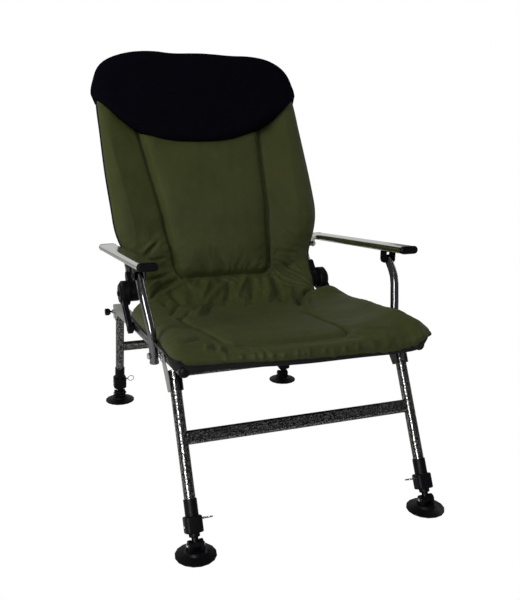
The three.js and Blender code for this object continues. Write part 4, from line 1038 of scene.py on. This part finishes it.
# The rigid pieces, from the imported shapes: finish, slot, rounding of the edges in metres
rigidFinish = {
    "seat_rail": (hammertone, "hammertone", 0.0006),
    "front_leg": (hammertone, "hammertone", 0.0006),
    "rear_leg": (hammertone, "hammertone", 0.0006),
    "back_tube": (hammertone, "hammertone", 0.0006),
    "post": (postPaint, "hammertone", 0.0006),
    "front_leg_bracket": (bracketSteelReflection, "grey_steel", 0.0007),
    "rear_channel": (greySteelReflection, "grey_steel", 0.0007),
    "recline_hub_outer": (blackPlastic, "black_plastic", 0.0009),
    "recline_hub_inner": (blackPlastic, "black_plastic", 0.0009),
    "recline_hub_bolt": (blackPlastic, "black_plastic", 0.0009),
    "lock_plunger": (blackPlastic, "black_plastic", 0.0009),
    "armrest_cap": (blackPlastic, "black_plastic", 0.0009),
    "armrest_bracket": (blackPlastic, "black_plastic", 0.0009),
    "armrest_pivot_bolt": (postPaint, "zinc", 0.0005),
    "front_pivot_bolt": (zinc, "zinc", 0.0005),
    "rear_pivot_bolt": (zinc, "zinc", 0.0005),
    "post_bolt": (zinc, "zinc", 0.0005),
    "armrest": (armMetal, "pale_grey", 0.0006),
}
footFinish = {
    "leg_sleeve": (blackPlastic, "black_plastic", 0.0007),
    "leg_extension": (blackPlastic, "black_plastic", 0.0007),
    "mud_foot": (blackPlastic, "black_plastic", 0.0007),
    "pull_pin": (zinc, "zinc", 0.0),
}
for side in sides:
    for node, finish in rigidFinish.items():
        refined(f"{node}_{sideName(side)}", *finish)
    for end in ends:
        for node, finish in footFinish.items():
            refined(f"{node}_{end}_{sideName(side)}", *finish)
for node in ("seat_front_bar", "seat_rear_bar", "front_crossbar", "rear_crossbar"):
    refined(node, hammertone, "hammertone", 0.0006)
print("rigid pieces made")

# Small fittings that only the picture shows: rings of radius and height
fittingStyle = {
    "plug": [(0.4, -6), (11.2, -6), (11.2, 0), (12.2, 0.4), (12.4, 2.2), (11.6, 4.6), (9.4, 6.8),
             (6.0, 8.3), (2.2, 8.9)],
    "rivet": [(0.2, -1.5), (3.2, -1.5), (3.2, 0), (3.0, 0.8), (2.1, 1.5), (0.7, 1.9)],
    "pinHead": [(0.3, -2), (4.3, -2), (4.4, 1.4), (3.9, 2.1), (2.4, 2.6), (0.7, 2.8)],
    "plugY": 71,
    "plugFacets": 40,
    "rivetUp": 38,  # above the foot pin
    "rivetOut": 19,
    "pinOut": 17.4,
    "smallFacets": 24,
}


def fitting(name, profile, matrix, facets, look, body):
    piece = turned(name, fittingStyle[profile], matrix, facets)
    dress(piece, look)
    smooth(piece, fineStyle["capAngle"])
    return settle(piece, body=body)


def facing(side):
    return Matrix.Rotation(side * math.pi / 2, 4, "Y")


for side in sides:
    name = sideName(side)
    # domed plugs in the rails' front ends
    plugY = fittingStyle["plugY"]
    front = Matrix.Translation(spot(side * legStyle["x"], plugY, railZ(plugY)))
    forwards = Matrix.Rotation(math.pi / 2 - math.atan(railStyle["slope"]), 4, "X")
    fitting("rail_plug_" + name, "plug", front @ forwards, fittingStyle["plugFacets"], blackPlastic,
            "seat")
    for end in ends:
        # a rivet low on the sleeve's outer face and the foot pin's bright heads
        leg = footPin(side, end) @ Matrix.Rotation(legStyle["lean"][end], 4, "X")
        onFace = Matrix.Translation((side * fittingStyle["rivetOut"] / 1000, 0,
                                     fittingStyle["rivetUp"] / 1000))
        fitting(f"sleeve_rivet_{end}_{name}", "rivet", leg @ (onFace @ facing(side)),
                fittingStyle["smallFacets"], zinc, bodyOf[f"leg_sleeve_{end}_{name}"])
        for way in (-1, 1):
            fitting(f"foot_pin_{end}_{name}_{'in' if way != side else 'out'}", "pinHead",
                    footPin(side, end, way * fittingStyle["pinOut"]) @ facing(way),
                    fittingStyle["smallFacets"], zinc, bodyOf[f"mud_foot_{end}_{name}"])
print("fittings made")

# Camera, from the photograph's own perspective
cameraStyle = {
    "lens": 44.4,
    "place": (-627.8, -1303.9, 899.6),
    "azimuth": -20.55,
    "down": 14.73,
    "roll": 0.57,
}
azimuth, down, roll = (math.radians(cameraStyle[k]) for k in ("azimuth", "down", "roll"))
forward = Vector((-math.sin(azimuth) * math.cos(down), math.cos(azimuth) * math.cos(down), -math.sin(down)))
right = Vector((math.cos(azimuth), math.sin(azimuth), 0))
up = right.cross(forward)
rolledRight = right * math.cos(roll) + up * math.sin(roll)
rolledUp = up * math.cos(roll) - right * math.sin(roll)
cameraData = bpy.data.cameras.new("camera")
cameraData.lens = cameraStyle["lens"]
camera = bpy.data.objects.new("camera", cameraData)
bpy.context.scene.collection.objects.link(camera)
turn = Matrix((rolledRight, rolledUp, -forward)).transposed().to_4x4()
camera.matrix_world = Matrix.Translation(spot(*cameraStyle["place"])) @ turn
bpy.context.scene.camera = camera

# Floor and sky: plain white to the camera, and a small share of that in gloss
stageStyle = {
    "floor": (0.8, 0.8, 0.8),
    "sky": (0.75, 0.77, 0.8),
    "skyStrength": 0.14,
    "glossShare": 0.04,
}


def whiteBehind(tree, white, shaded, output):
    path = tree.nodes.new("ShaderNodeLightPath")
    blend = tree.nodes.new("ShaderNodeMixShader")
    gloss = Tap(tree, path.outputs["Is Glossy Ray"]) * stageStyle["glossShare"]
    seen = Tap(tree, path.outputs["Is Camera Ray"]).math("MAXIMUM", gloss)
    for source, slot in zip((seen.socket, shaded.outputs[0], white.outputs[0]), blend.inputs):
        tree.links.new(source, slot)
    tree.links.new(blend.outputs[0], tree.nodes[output].inputs["Surface"])


deselect()
bpy.ops.mesh.primitive_plane_add(size=60, location=(0, 0, 0))
floor = bpy.context.object
floor.name = "floor"
floorLook = Look("floor_white", stageStyle["floor"], 0.9)
glow = floorLook.tree.nodes.new("ShaderNodeEmission")
glow.inputs["Color"].default_value = (1, 1, 1, 1)
whiteBehind(floorLook.tree, glow, floorLook.shader, "Material Output")
dress(floor, floorLook)

world = bpy.data.worlds.new("studio")
bpy.context.scene.world = world
world.use_nodes = True
sky = world.node_tree.nodes["Background"]
sky.inputs["Color"].default_value = (*stageStyle["sky"], 1)
sky.inputs["Strength"].default_value = stageStyle["skyStrength"]
whiteSky = world.node_tree.nodes.new("ShaderNodeBackground")
whiteSky.inputs["Color"].default_value = (1, 1, 1, 1)
whiteSky.inputs["Strength"].default_value = 1.0
whiteBehind(world.node_tree, whiteSky, sky, "World Output")

# Panels of light: place, aimed at, width and height, watts, whether they light surfaces, whether they
# show in gloss. The strips only show as bright lines on the tubes.
panels = {
    "key": ((-2.6, -0.9, 1.65), (0, 0, 0.5), (1.5, 1.5), 60, True, False),
    "fill": ((1.2, -2.6, 1.9), (0, 0, 0.5), (1.2, 1.2), 13, True, False),
    "top": ((0.1, 0.3, 2.8), (0, 0, 0.5), (1.3, 1.3), 8, True, False),
    "back": ((0.2, 3.4, 1.6), (0, 0, 0.9), (4.5, 2.8), 16, True, True),
    "strip_front": ((-1.55, -2.2, 1.4), (0, 0, 0.6), (0.75, 1.9), 62, False, True),
    "strip_right": ((2.6, 0.6, 1.2), (0, 0, 0.6), (0.5, 1.9), 10, False, True),
    "strip_left": ((-2.4, 2.2, 1.2), (0, 0, 0.6), (0.5, 1.9), 10, False, True),
}
for name, (where, target, size, watts, lights, shines) in panels.items():
    panel = bpy.data.lights.new(name, "AREA")
    panel.shape = "RECTANGLE"
    panel.size, panel.size_y = size
    panel.energy = watts
    light = bpy.data.objects.new(name, panel)
    bpy.context.scene.collection.objects.link(light)
    light.visible_camera = False
    light.visible_diffuse = lights
    light.visible_glossy = shines
    light.location = Vector(where)
    light.rotation_euler = (Vector(target) - light.location).to_track_quat("-Z", "Y").to_euler()
bpy.context.scene.view_settings.view_transform = "Standard"
print("stage and lights made")
